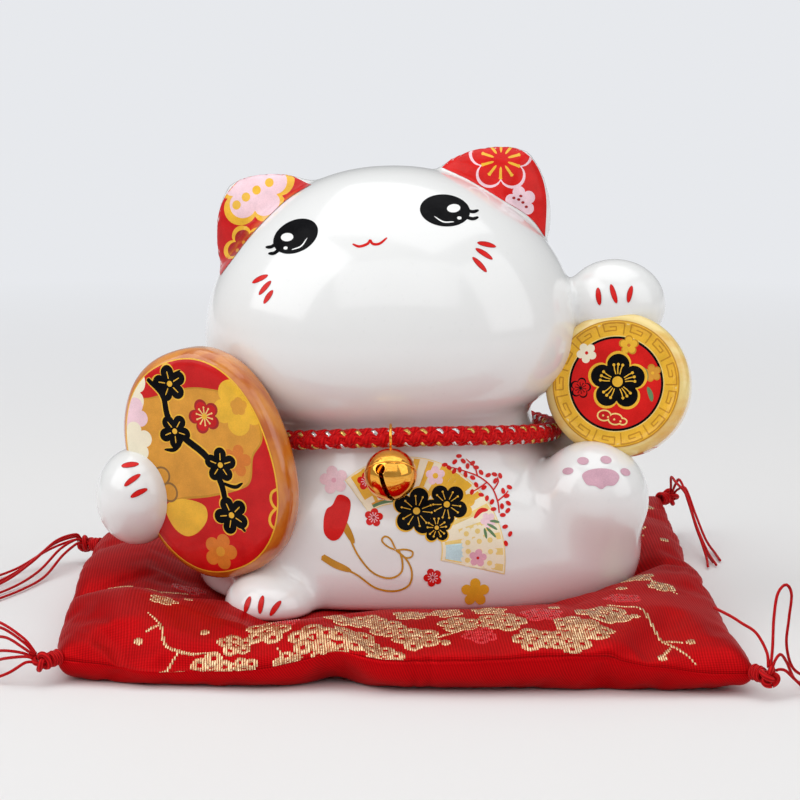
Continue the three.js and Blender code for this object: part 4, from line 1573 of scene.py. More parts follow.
    @staticmethod
    def emblem(art: Artwork) -> None:
        """The large dark blossoms edged with yellow in the middle of the belly."""
        heads = (((4.6, 29.2), 6.6, 8), ((13.0, 31.0), 5.9, 50), ((10.2, 24.6), 4.0, 20))
        for ink, swell in ((Ink.YELLOW, 0.5), (Ink.BLACK, 0.0)):
            art.put(ink, *[blossom(middle, radius + swell, turn, 0.34) for middle, radius, turn in heads])
        for middle, radius, turn in heads:
            rays = [
                moved(
                    np.array([[0.26 * radius, 0.0], [0.44 * radius, 0], [0.64 * radius, 0]]), middle,
                    turn + 72 * k + t,
                )
                for k in range(5)
                for t in (-14, 14)
            ]
            art.put(
                Ink.YELLOW, *[stroke(ray, 0.22, (1, 0.7), 3) for ray in rays],
                *[ellipse(ray[-1], (0.3, 0.3), 0, 8) for ray in rays],
            )
            art.put(Ink.YELLOW, ellipse(middle, (0.15 * radius, 0.15 * radius), 0, 14))


# ---------------------------------------------------------------- the collar and its bell


def tube(
    points: Points, radius: Points | float, sides: int, closed: bool = False, flat: float = 1.0,
    outward: Points | None = None,
) -> tuple[Points, list[list[int]]]:
    """A tube along a line, closed with flat ends where it is open.

    Args:
        points: The centreline.
        radius: Its radius, or one for each point.
        sides: How many points go round it.
        closed: Whether it comes round to its first point.
        flat: Its thickness along outward, as a share of its width.
        outward: The direction of its flat side at each point.

    Returns:
        Its points and faces.
    """
    n = len(points)
    radius = np.broadcast_to(np.asarray(radius, float), (n,))
    if closed:
        along = np.roll(points, -1, axis=0) - np.roll(points, 1, axis=0)
    else:
        along = np.gradient(points, axis=0)
    along /= np.linalg.norm(along, axis=1)[:, None] + 1e-12
    if outward is None:
        normal = np.empty_like(points)
        start = np.cross(along[0], (0.0, 0.0, 1.0))
        if np.linalg.norm(start) < 0.1:
            start = np.cross(along[0], (1.0, 0.0, 0.0))
        normal[0] = start / np.linalg.norm(start)
        for i in range(1, n):
            carried = normal[i - 1] - along[i] * (normal[i - 1] @ along[i])
            normal[i] = carried / np.linalg.norm(carried)
    else:
        normal = outward - along * (outward * along).sum(axis=1)[:, None]
        normal /= np.linalg.norm(normal, axis=1)[:, None] + 1e-12
    side = np.cross(along, normal)
    angle = np.linspace(0, 2 * math.pi, sides, endpoint=False)
    thick, wide = np.cos(angle)[None, :, None], np.sin(angle)[None, :, None]
    ring = flat * thick * normal[:, None] + wide * side[:, None]
    places = (points[:, None] + radius[:, None, None] * ring).reshape(-1, 3)
    faces = []
    for i in range(n if closed else n - 1):
        near, far = i * sides, ((i + 1) % n) * sides
        faces += [[near + j, near + (j + 1) % sides, far + (j + 1) % sides, far + j] for j in range(sides)]
    if not closed:
        faces.append(list(range(sides))[::-1])
        faces.append([(n - 1) * sides + j for j in range(sides)])
    return places, faces


def bundle(name: str, tubes: Iterable[tuple[Points, list[list[int]]]]) -> bpy.types.Object:
    """One object from several tubes."""
    places: list[Points] = []
    faces: list[list[int]] = []
    start = 0
    for points, tube_faces in tubes:
        places.append(points)
        faces += [[start + v for v in face] for face in tube_faces]
        start += len(points)
    return piece_from(name, np.vstack(places), faces)


def store(piece: bpy.types.Object, name: str, values: Points) -> None:
    """Keeps a number for each point of a mesh, for its material to read."""
    attribute = piece.data.attributes.new(name, "FLOAT", "POINT")
    attribute.data.foreach_set("value", np.asarray(values, np.float32))


@dataclass(frozen=True)
class Yarn:
    """Silky yarn: fine threads along a strand, with a soft sheen."""

    name: str
    colour: Colour
    deep: Colour
    metal: float = 0.0
    roughness: float = 0.42
    twist: float = 0.55
    shine: float = 0.15

    def build(self) -> bpy.types.Material:
        """The material. It reads how far a point is along and round its strand."""
        s = Shading(self.name)
        along, around = s.attribute("along"), s.attribute("around")
        phase = s.math(
            "ADD", s.math("MULTIPLY", along, math.pi / self.twist), s.math("MULTIPLY", around, 5.0),
        )
        thread = s.spread(s.math("SINE", phase), -1, 1)
        fuzz = s.noise(0.5, detail=4)
        tone = s.math("ADD", s.math("MULTIPLY", thread, 0.65), s.math("MULTIPLY", fuzz, 0.35))
        # The colour is lighter on the threads' crests and deep in the grooves between them, as the bump is:
        # painted shade in the grooves.
        s.set(Base_Color=s.blend(s.spread(tone, 0.15, 0.8), self.deep, self.colour))
        tint, sheen = ((1, 0.3, 0.25, 1), 0.02) if self.metal == 0 else ((1, 1, 1, 1), 0.0)
        s.set(Metallic=self.metal, Roughness=self.roughness, Normal=s.bump(tone, 0.05))
        s.set(Specular_IOR_Level=self.shine, Specular_Tint=tint)
        s.set(Sheen_Weight=sheen, Sheen_Tint=(1, 0.2, 0.15, 1))
        return s.material


# Each yarn's deep colour is the painted shade in the grooves between its threads.
RED_SILK = Yarn("red_silk", (0.74, 0.012, 0.014), (0.42, 0.003, 0.006))
GOLD_LUREX = Yarn("gold_lurex", (0.92, 0.66, 0.2), (0.55, 0.3, 0.06), metal=1.0, roughness=0.24)
SILVER_LUREX = Yarn("silver_lurex", (0.9, 0.9, 0.88), (0.5, 0.5, 0.5), metal=1.0, roughness=0.22)


@dataclass(frozen=True)
class Collar:
    """The braided cord round the neck, closed at the back by a gilt sleeve.

    Attributes:
        centre: The middle of its loop.
        semi: Its half-widths to the centreline.
        front, side, back: The heights of the centreline.
        roll: How much it rises towards the viewer's right.
        radius: The cord's radius.
        plait: The length of one turn of a strand round the cord.
        steps: Points along each strand.
    """

    centre: tuple[float, float] = (1.0, 0.6)
    semi: tuple[float, float] = (43.33, 39.68)
    front: float = 57.4
    side: float = 51.4
    back: float = 51.0
    roll: float = 0.025
    radius: float = 2.75
    plait: float = 17.6
    steps: int = 720

    def point(self, angle: Points) -> Points:
        """Points of the centreline at angles from +X, anticlockwise seen from above."""
        x, y = self.semi[0] * np.cos(angle), self.semi[1] * np.sin(angle)
        ahead = -np.sin(angle)
        bow = ahead ** 2 * ((self.front + self.back) / 2 - self.side)
        z = self.side + ahead * (self.front - self.back) / 2 + bow + self.roll * x
        return np.column_stack([self.centre[0] + x, self.centre[1] + y, z])

    def frame_at(self, angle: Points) -> tuple[Points, Points, Points, Points]:
        """The centreline, its outward and upward sides, and the length along it, at angles."""
        line = self.point(angle)
        along = self.point(angle + 1e-3) - self.point(angle - 1e-3)
        along /= np.linalg.norm(along, axis=1)[:, None]
        out = line - np.array([*self.centre, 0])
        out[:, 2] = 0
        out -= along * (out * along).sum(axis=1)[:, None]
        out /= np.linalg.norm(out, axis=1)[:, None]
        length = np.concatenate([[0], np.cumsum(np.linalg.norm(np.diff(line, axis=0), axis=1))])
        return line, out, np.cross(along, out), length

    def strand(self, start: float, way: int, rise: float, swing: float) -> tuple[Points, Points]:
        """A strand's centreline and its outward directions, weaving over and under the others."""
        angle = np.linspace(math.pi / 2, math.pi / 2 + 2 * math.pi, self.steps)
        line, out, up, length = self.frame_at(angle)
        turns = round(length[-1] / self.plait)
        turn = start + way * 2 * math.pi * turns * length / length[-1]
        weave = way * np.sin(4 * (turn - math.pi / 8))
        direction = np.cos(turn)[:, None] * out + np.sin(turn)[:, None] * up
        return line + (rise + swing * weave)[:, None] * direction, direction

    def build(self) -> list[bpy.types.Object]:
        """Braids the cord from eight red strands, four of which carry a metal yarn."""
        red: list = []
        shiny: dict[str, list] = {"gold": [], "silver": []}
        for k in range(4):
            for way in (1, -1):
                start = math.pi / 2 * k + math.pi / 8 * (1 if way > 0 else 3)
                line, out = self.strand(start, way, self.radius - 0.95, 0.34)
                red.append(tube(line, 1.32, 10, flat=0.56, outward=out))
            line, out = self.strand(math.pi / 2 * k + math.pi / 8, 1, self.radius - 0.6, 0.86)
            shiny["gold" if k < 2 else "silver"].append(tube(line, 0.5, 10, flat=0.3, outward=out))
        cord = self.finish("collar_braid", red, RED_SILK)
        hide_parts("collar_cord")
        gold = self.finish("collar_gold_yarn", shiny["gold"], GOLD_LUREX)
        silver = self.finish("collar_silver_yarn", shiny["silver"], SILVER_LUREX)
        return [cord, gold, silver, self.sleeve()]

    def finish(self, name: str, tubes: list, yarn: Yarn) -> bpy.types.Object:
        """Makes one object of strands and dresses it in yarn.

        Args:
            name: Its name.
            tubes: The strands' points and faces.
            yarn: What they are made of.

        Returns:
            The finished piece.
        """
        piece = bundle(name, tubes)
        rings = np.tile(np.repeat(np.arange(self.steps) * self.perimeter() / self.steps, 10), len(tubes))
        store(piece, "along", rings)
        store(piece, "around", np.tile(np.arange(10), len(tubes) * self.steps) * math.pi / 5)
        piece.data.shade_smooth()
        piece.data.materials.append(yarn.build())
        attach(piece, "cat")
        return piece

    def perimeter(self) -> float:
        """The cord's length round the neck."""
        line = self.point(np.linspace(0, 2 * math.pi, 200))
        return float(np.linalg.norm(np.diff(line, axis=0), axis=1).sum())

    def sleeve(self) -> bpy.types.Object:
        """The gilt sleeve crimped over the cord's two ends."""
        deselect()
        back = self.point(np.array([math.pi / 2]))[0]
        bpy.ops.mesh.primitive_cylinder_add(
            vertices=40,
            radius=(self.radius + 0.72) * MM,
            depth=6 * MM,
            end_fill_type="NOTHING",
            location=back * MM,
            rotation=(0, math.pi / 2 - math.atan(self.roll), 0),
        )
        piece = named(bpy.context.object, "collar_sleeve")
        settle_place(piece)
        apply_modifier(piece, "SOLIDIFY", thickness=0.4 * MM, offset=-1)
        apply_modifier(piece, "BEVEL", width=0.14 * MM, segments=3)
        piece.data.shade_smooth()
        piece.data.materials.append(GILT.build())
        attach(piece, "cat")
        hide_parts("collar_ferrule")
        return piece


@dataclass(frozen=True)
class Polished:
    """Plated metal with faint rubbing marks."""

    name: str
    colour: Colour
    dull: Colour
    roughness: tuple[float, float] = (0.05, 0.16)

    def build(self) -> bpy.types.Material:
        """The material, made once."""
        made = bpy.data.materials.get(self.name)
        if made:
            return made
        s = Shading(self.name)
        rub = s.noise(1.2, s.place((1, 1, 4)), detail=6)
        s.set(Base_Color=s.blend(s.spread(rub, 0.35, 0.75), self.colour, self.dull))
        s.set(Metallic=1.0, Roughness=s.spread(s.noise(3.5, detail=5), 0.35, 0.7, *self.roughness))
        s.set(Normal=s.bump(s.noise(2.4, detail=2), 0.012))
        return s.material


GILT = Polished("polished_gilt", (0.95, 0.47, 0.08), (0.84, 0.34, 0.04))
STEEL = Polished("bright_steel", (0.75, 0.75, 0.77), (0.6, 0.6, 0.62))


@dataclass(frozen=True)
class Bell:
    """The round bell: two gilt half shells, a slit with round eyes, a wire loop and a loose pellet.

    Attributes:
        hang: Where the cord passes through the loop.
        lean: How far the bell leans out from hanging straight down, in degrees.
        radius: The outer radius.
        wall: The shells' thickness.
    """

    hang: Triple = (-2.596, -38.943, 57.28)
    lean: float = 39.48
    radius: float = 7.2
    wall: float = 0.5
    slit: float = 1.3
    eye: float = 1.45
    eye_drop: float = 1.7
    slit_turn: float = -24
    wire: float = 0.42
    ring: float = 3.65
    clear: float = 0.4
    pellet: float = 1.7

    @property
    def drop(self) -> float:
        """How far the bell's middle hangs below the cord."""
        return self.ring + self.wire + self.clear + self.radius

    @property
    def centre(self) -> Points:
        """The bell's middle."""
        lean = math.radians(self.lean)
        return np.array(self.hang) + self.drop * np.array([0, -math.sin(lean), -math.cos(lean)])

    def hung(self, piece: bpy.types.Object, name: str, node: str, turned: float = 0) -> bpy.types.Object:
        """Hangs a piece modelled about the bell's middle, its loop straight up, and gilds it.

        Args:
            piece: The piece.
            name: Its name.
            node: The node of the part that it replaces.
            turned: How far it is turned about its loop first, in degrees.

        Returns:
            The finished piece.
        """
        turn = turning((-self.lean, 0, 0)) @ turning((0, 0, turned))
        move_points(piece, points_of(piece) @ turn.T + self.centre)
        named(piece, name)
        piece.data.shade_smooth()
        piece.data.materials.append(GILT.build())
        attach(piece, "bell")
        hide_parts(node)
        return piece

    def shell(self, way: int) -> bpy.types.Object:
        """Half the bell, its rim rolled outwards at the seam. way is 1 for the upper half."""
        deselect()
        bpy.ops.mesh.primitive_uv_sphere_add(
            segments=72, ring_count=40, radius=(self.radius - self.wall) * MM,
        )
        ball = bpy.context.object
        bpy.ops.object.mode_set(mode="EDIT")
        bpy.ops.mesh.select_all(action="SELECT")
        bpy.ops.mesh.bisect(plane_co=(0, 0, 0.05 * way * MM), plane_no=(0, 0, way), clear_inner=True)
        bpy.ops.object.mode_set(mode="OBJECT")
        points = points_of(ball)
        flare = np.exp(-np.abs(points[:, 2]) / 0.4) * 0.1
        points[:, :2] *= (1 + flare / self.radius)[:, None]
        move_points(ball, points)
        mend_normals(ball)
        apply_modifier(ball, "SOLIDIFY", thickness=self.wall * MM, offset=1)
        if way < 0:
            self.cut_slit(ball)
        return ball

    def cut_slit(self, ball: bpy.types.Object) -> None:
        """Cuts the slit across the lower half, with a round eye at each end."""
        reach = self.radius + 2
        deselect()
        bpy.ops.mesh.primitive_cube_add(
            size=1, location=(0, 0, -(reach / 2 + self.eye_drop) * MM),
            scale=(self.slit * MM, 2 * reach * MM, reach * MM),
        )
        blade = bpy.context.object
        settle_place(blade)
        bpy.ops.mesh.primitive_cylinder_add(
            vertices=40, radius=self.eye * MM, depth=2 * reach * MM, location=(0, 0, -self.eye_drop * MM),
            rotation=(math.pi / 2, 0, 0),
        )
        eyes = bpy.context.object
        settle_place(eyes)
        for tool in (blade, eyes):
            apply_modifier(ball, "BOOLEAN", object=tool, operation="DIFFERENCE", solver="EXACT")
            bpy.data.objects.remove(tool)
        apply_modifier(
            ball, "BEVEL", width=0.1 * MM, segments=2, limit_method="ANGLE", angle_limit=math.radians(50),
        )

    def loop(self) -> bpy.types.Object:
        """The wire loop round the cord, with the neck that it is soldered to."""
        deselect()
        high = self.drop - 0.2
        bpy.ops.mesh.primitive_torus_add(
            major_radius=self.ring * MM,
            minor_radius=self.wire * MM,
            major_segments=64,
            minor_segments=14,
            location=(0, 0, high * MM),
            rotation=(0, math.pi / 2, 0),
        )
        ring = bpy.context.object
        settle_place(ring)
        bpy.ops.mesh.primitive_cone_add(
            vertices=28, radius1=1.25 * MM, radius2=0.55 * MM, depth=0.9 * MM,
            location=(0, 0, (self.radius + 0.32) * MM),
        )
        neck = bpy.context.object
        settle_place(neck)
        apply_modifier(neck, "BEVEL", width=0.15 * MM, segments=3)
        return join([ring, neck], "bell_loop_wire")

    def build(self) -> list[bpy.types.Object]:
        """Models the bell and its pellet."""
        pieces = [
            self.hung(self.shell(1), "bell_top_shell", "bell_upper_shell"),
            self.hung(self.shell(-1), "bell_slit_shell", "bell_lower_shell", self.slit_turn),
            self.hung(self.loop(), "bell_wire_loop", "bell_loop"),
        ]
        deselect()
        low, high = (np.array(corner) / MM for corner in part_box("bell_pellet"))
        bpy.ops.mesh.primitive_ico_sphere_add(
            subdivisions=4, radius=self.pellet * MM, location=(low + high) / 2 * MM,
        )
        ball = named(bpy.context.object, "bell_steel_pellet")
        settle_place(ball)
        ball.data.shade_smooth()
        ball.data.materials.append(STEEL.build())
        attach(ball, "pellet")
        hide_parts("bell_pellet")
        return [*pieces, ball]


# ---------------------------------------------------------------- the cushion


@dataclass(frozen=True)
class Satin:
    """Silky cloth with a fine pattern of raised dots, or of slanting ribs where dots is 0.

    Attributes:
        colour, deep: The colours of the raised and the sunk weave: the lighter raised weave is a painted
            highlight and the deep sunk weave painted shade.
        pitch: The pattern's repeat across and along, in millimetres.
        dots: How much of the pattern is dots instead of ribs.
        depth: The height of the pattern, in millimetres.
    """

    name: str
    colour: Colour
    deep: Colour
    pitch: tuple[float, float]
    dots: float
    depth: float

    def build(self) -> bpy.types.Material:
        """The material. It reads how far a point is across and along the cloth, in millimetres."""
        s = Shading(self.name)
        across, along = s.attribute("across"), s.attribute("along")
        x = s.math("MULTIPLY", across, 2 * math.pi / self.pitch[0])
        y = s.math("MULTIPLY", along, 2 * math.pi / self.pitch[1])
        one, other = s.math("SINE", s.math("ADD", x, y)), s.math("SINE", s.math("SUBTRACT", x, y))
        lattice = s.spread(s.math("MULTIPLY", one, other), -0.6, 0.9)
        ribs = s.spread(one, -1, 1)
        pattern = s.math(
            "ADD", s.math("MULTIPLY", lattice, self.dots), s.math("MULTIPLY", ribs, 1 - self.dots),
        )
        cloud = s.noise(14, detail=3)
        tone = s.math("ADD", s.math("MULTIPLY", pattern, 0.6), s.math("MULTIPLY", cloud, 0.4))
        # The raised weave takes the lighter colour and the sunk weave the deep one, as the bump does: painted
        # highlight and painted shade, over a slow random tone.
        s.set(Base_Color=s.blend(s.spread(tone, 0.2, 0.75), self.deep, self.colour))
        s.set(Roughness=s.spread(pattern, 0, 1, 0.5, 0.38), Metallic=0.45, Specular_IOR_Level=0.2)
        s.set(Specular_Tint=(0.9, 0.14, 0.1, 1))
        s.set(Sheen_Weight=0.05, Sheen_Roughness=0.3, Sheen_Tint=(1.0, 0.15, 0.1, 1))
        creases = s.bump(s.noise(5, s.place((1, 0.4, 1)), detail=3), 0.12)
        s.set(Normal=s.bump(pattern, self.depth, creases))
        return s.material


# The deep second colour of each cloth is the painted shade of its sunk weave.
RED_BROCADE = Satin("red_brocade", (0.56, 0.003, 0.006), (0.28, 0.001, 0.002), (1.5, 1.0), 1.0, 0.014)
RED_SATIN = Satin("red_satin", (0.56, 0.003, 0.006), (0.38, 0.001, 0.003), (0.7, 0.7), 0.0, 0.004)


@dataclass(frozen=True)
class Metallic:
    """Flat metallic yarn of a woven figure."""

    name: str
    colour: Colour
    deep: Colour
    metal: float = 0.75

    def build(self) -> bpy.types.Material:
        """The material."""
        s = Shading(self.name)
        fleck = s.noise(0.9, s.place((3.2, 0.35, 0.35)), detail=2)
        s.set(Base_Color=s.blend(s.spread(fleck, 0.3, 0.7), self.deep, self.colour))
        s.set(Metallic=self.metal, Roughness=s.spread(s.noise(0.6), 0.3, 0.7, 0.24, 0.42))
        s.set(Normal=s.bump(s.noise(0.3, detail=2), 0.015))
        return s.material


GOLD_FLOAT = Metallic("gold_float_yarn", (1.0, 0.80, 0.47), (0.42, 0.15, 0.04))
RED_FLOAT = Metallic("red_float_yarn", (0.82, 0.02, 0.03), (0.5, 0.005, 0.01), metal=0.3)
WADDING = Bisque("white_wadding")


class Weaving:
    """The cushion's upper cloth, as the place of each point of the pattern woven in it."""

    def __init__(self, grid: Points, surface: BVHTree) -> None:
        """Measures the cloth.

        Args:
            grid: Its points, from front to back and from left to right.
            surface: The finished cloth.
        """
        self.grid = grid
        self.surface = surface
        steps = np.linalg.norm(np.diff(grid, axis=0), axis=2)
        self.along = np.concatenate([np.zeros((1, grid.shape[1])), np.cumsum(steps, axis=0)])
        self.front = grid[0, :, 0]

    def spot(self, x: float, y: float) -> tuple[float, float]:
        """The pattern's coordinates, across and along, at a place seen from above."""
        far = (self.grid[:, :, 0] - x) ** 2 + (self.grid[:, :, 1] - y) ** 2
        row, column = np.unravel_index(far.argmin(), far.shape)
        return float(self.front[column]), float(self.along[row, column])

    def on_cloth(self, across: Points, along: Points, lift: Points) -> Points:
        """Points of the cloth at pattern coordinates.

        Args:
            across: Their places across the pattern.
            along: Their places along it.
            lift: How far each is raised off the cloth.

        Returns:
            The points.
        """
        columns = np.interp(across, self.front, np.arange(len(self.front)))
        left = np.clip(columns.astype(int), 0, len(self.front) - 2)
        part = columns - left
        lengths = self.along[:, left] * (1 - part) + self.along[:, left + 1] * part
        rows = np.array([np.interp(q, lengths[:, i], np.arange(len(lengths))) for i, q in enumerate(along)])
        front = np.clip(rows.astype(int), 0, len(self.grid) - 2)
        share = (rows - front)[:, None]
        part = part[:, None]
        places = np.zeros((len(rows), 3))
        for down, weight in ((0, 1 - share), (1, share)):
            near, far = self.grid[front + down, left], self.grid[front + down, left + 1]
            places += weight * (near * (1 - part) + far * part)
        for i, place in enumerate(places):
            found, normal, _, _ = self.surface.find_nearest(Vector(place))
            places[i] = np.array(found) + lift[i] * np.array(normal)
        return places


def floats(shapes: Sequence[Points], pitch: float) -> list[tuple[float, float, float]]:
    """The yarns that fill a figure of closed outlines, as the place of each across, its start and its end."""
    found = []
    low, high = min(s[:, 0].min() for s in shapes), max(s[:, 0].max() for s in shapes)
    for k in range(math.ceil(low / pitch), math.floor(high / pitch) + 1):
        across = k * pitch
        crossings = []
        for outline in shapes:
            start, end = outline, np.roll(outline, -1, axis=0)
            hit = (start[:, 0] <= across) != (end[:, 0] <= across)
            share = (across - start[hit, 0]) / (end[hit, 0] - start[hit, 0])
            crossings += (start[hit, 1] + share * (end[hit, 1] - start[hit, 1])).tolist()
        crossings.sort()
        found += [(across, a, b) for a, b in zip(crossings[::2], crossings[1::2]) if b - a > 0.3]
    return found


@dataclass(frozen=True)
class Brocade:
    """The figures woven in the cushion's top: plum branches in gold, with a few blossoms in red.

    Attributes:
        blossoms: The middle of each seen from above, its radius and its turn in degrees.
        red_blossoms: The same for those woven in red.
        branches: Lines of points seen from above.
        buds: Small round buds: their middles and radius.
        pitch: The distance between yarns.
        width: A yarn's width.
    """

    blossoms: tuple[tuple[float, float, float, float], ...] = (
        (-49.6, -92, 5.0, 10), (-40.5, -94.5, 3.8, 40), (-44.2, -86, 4.4, 25), (-36, -82.5, 5.8, 0),
        (-23.5, -87, 5.8, 15), (-12.5, -86.5, 6.2, 50), (-17.5, -97, 4.6, 30), (-3.5, -95.5, 5.0, 5),
        (5.4, -88.5, 5.8, 35), (-3.5, -80.5, 4.8, 60), (15, -81, 5.0, 20), (26.5, -81.5, 6.0, 0),
        (34, -92, 5.2, 30), (43.5, -93, 5.2, 55), (50.5, -88, 5.2, 10), (54.5, -76, 6.6, 40),
        (-29, -95.5, 3.6, 20), (-7.5, -73, 4.4, 0), (3, -71, 4.6, 10), (12, -69.5, 4.2, 45),
        (46, -84, 4.6, 0), (24, -70.5, 4.4, 15), (-14, -73.5, 4.6, 35), (-71, -38, 5.0, 20),
        (-76, -47, 3.4, 50), (-63, -61, 3.6, 0), (-78, 28, 5.0, 30), (-68, 20, 3.6, 5), (66, -38, 4.8, 15),
        (72, -48, 3.6, 45), (68, 20, 5.2, 10), (62, 32, 4.0, 50), (74, 60, 4.6, 25), (-40, 56, 5.0, 0),
        (-30, 62, 4.0, 35), (-8, 68, 4.6, 15), (22, 72, 5.4, 40), (34, 78, 4.2, 5), (-12, 8, 5.4, 20),
        (-2, 16, 4.6, 50), (18, -8, 5.2, 10), (26, 2, 4.0, 40), (-34, -10, 4.6, 30), (30, 36, 5.0, 0),
        (-24, 36, 4.4, 25),
    )
    red_blossoms: tuple[tuple[float, float, float, float], ...] = (
        (38, -77.5, 5.2, 20), (21, -89, 4.2, 50), (-30, -76, 4.0, 10), (60, -62, 4.6, 30), (-60, -25, 4.6, 5),
        (70, 40, 4.4, 45), (8, 60, 5.0, 15), (6, -4, 5.0, 35),
    )
    branches: tuple[tuple[tuple[float, float], ...], ...] = (
        ((-67, -71.5), (-64.5, -77), (-61.5, -84.5), (-56, -88), (-50, -89)),
        ((-64.5, -77), (-68, -80)),
        ((-58, -86.5), (-60.5, -91.5), (-58, -94.5)),
        ((-32, -90), (-29.5, -94), (-26, -92), (-23, -88)),
        ((-12, -90), (-8, -97.5), (-2, -99)),
        ((8, -90), (14, -86), (20, -84), (26, -84)),
        ((56, -69.5), (63.5, -72), (66.5, -80), (69, -88), (73, -93.5), (77.5, -98)),
        ((69, -88), (74.5, -89.5)),
        ((71, -92), (68, -96)),
        ((-80, -52), (-74, -42), (-67, -34), (-60, -30)),
        ((76, -54), (69, -43), (64, -33), (66, -20)),
        ((-82, 22), (-74, 26), (-64, 16)),
        ((56, 28), (66, 26), (72, 14)),
        ((-48, 52), (-34, 60), (-18, 64), (-2, 70)),
        ((14, 66), (26, 76), (40, 80), (50, 76)),
        ((-18, 2), (-6, 12), (6, 20)),
        ((12, -14), (22, -4), (34, 4)),
    )
    buds: tuple[tuple[float, float, float], ...] = (
        (-68.5, -81, 1.3), (-61.5, -92.5, 1.3), (-57, -95.5, 1.1), (-31.5, -95.5, 1.4), (-2, -99.5, 1.2),
        (75.5, -89.5, 1.3), (67, -97, 1.3), (62, -77, 1.3), (11, -91, 1.4), (58, -81, 1.5), (-52, -82, 1.3),
        (-10, -73, 1.5), (22, -71, 1.5), (42, -70, 1.6), (-58, -54, 1.4), (60, -50, 1.4), (-84, 30, 1.4),
        (78, 8, 1.4), (48, 70, 1.5), (-52, 60, 1.4),
    )
    pitch: float = 0.62
    width: float = 0.42

    def blossom_outlines(
        self, cloth: Weaving, x: float, y: float, radius: float, turn: float,
    ) -> list[list[Points]]:
        """Five petals, each with a vein left bare, round a heart.

        Args:
            cloth: The cloth that it is woven in.
            x, y: Its middle seen from above.
            radius: Its radius.
            turn: Its turn in degrees.

        Returns:
            The outlines of each part, from the outside in.
        """
        middle = np.array(cloth.spot(x, y))
        parts = []
        for k in range(5):
            angle = math.radians(turn + 72 * k)
            way = np.array([math.cos(angle), math.sin(angle)])
            petal = ellipse((0, 0), (0.49 * radius, 0.46 * radius)) + middle + 0.66 * radius * way
            vein = ellipse((0, 0), (0.14 * radius, 0.14 * radius)) + middle + 0.7 * radius * way
            parts.append([petal, vein])
        parts.append([ellipse((0, 0), (0.13 * radius, 0.13 * radius)) + middle])
        return parts

    def yarns(self, cloth: Weaving) -> tuple[list, list]:
        """All the gold and the red yarns."""
        gold, red = [], []
        for group, spots in ((gold, self.blossoms), (red, self.red_blossoms)):
            for spot in spots:
                for part in self.blossom_outlines(cloth, *spot):
                    group += floats(part, self.pitch)
        for line in self.branches:
            points = smooth_line([cloth.spot(*point) for point in line], 6)
            gold += floats([stroke(points, 0.95)], self.pitch)
        for x, y, radius in self.buds:
            gold += floats([ellipse((0, 0), (radius, radius)) + np.array(cloth.spot(x, y))], self.pitch)
        return gold, red

    def ribbons(
        self, cloth: Weaving, yarns: list, name: str, chance: np.random.Generator,
    ) -> bpy.types.Object:
        """Lays each yarn on the cloth as a narrow arched ribbon, its ends tucked in.

        Args:
            cloth: The cloth.
            yarns: The place of each yarn across, its start and its end.
            name: The name of what they make.
            chance: What makes their ends uneven.

        Returns:
            All the ribbons as one object.
        """
        across, along, lift, faces = [], [], [], []
        for place, start, end in yarns:
            start, end = start + chance.normal(0, 0.08), end + chance.normal(0, 0.08)
            if end - start < 0.3:
                continue
            inner = np.linspace(start + 0.1, end - 0.1, max(2, math.ceil((end - start) / 1.1) + 1))
            stops = np.concatenate([[start - 0.06], inner, [end + 0.06]])
            first = len(across)
            for k, stop in enumerate(stops):
                raised = -0.1 if k in (0, len(stops) - 1) else 0.13
                for side, more in ((-1, 0), (0, 0.07), (1, 0)):
                    across.append(place + side * self.width / 2)
                    along.append(stop)
                    lift.append(raised + more)
            for k in range(len(stops) - 1):
                a = first + 3 * k
                faces += [[a, a + 1, a + 4, a + 3], [a + 1, a + 2, a + 5, a + 4]]
        points = cloth.on_cloth(np.array(across), np.array(along), np.array(lift))
        return piece_from(name, points, faces)

    def weave(self, cloth: Weaving) -> list[bpy.types.Object]:
        """Weaves the figures in."""
        chance = np.random.default_rng(7)
        pieces = []
        gold, red = self.yarns(cloth)
        for yarns, name, yarn in (
            (gold, "cushion_gold_figures", GOLD_FLOAT), (red, "cushion_red_figures", RED_FLOAT),
        ):
            piece = self.ribbons(cloth, yarns, name, chance)
            piece.data.shade_smooth()
            piece.data.materials.append(yarn.build())
            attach(piece, "cushion")
            pieces.append(piece)
        return pieces


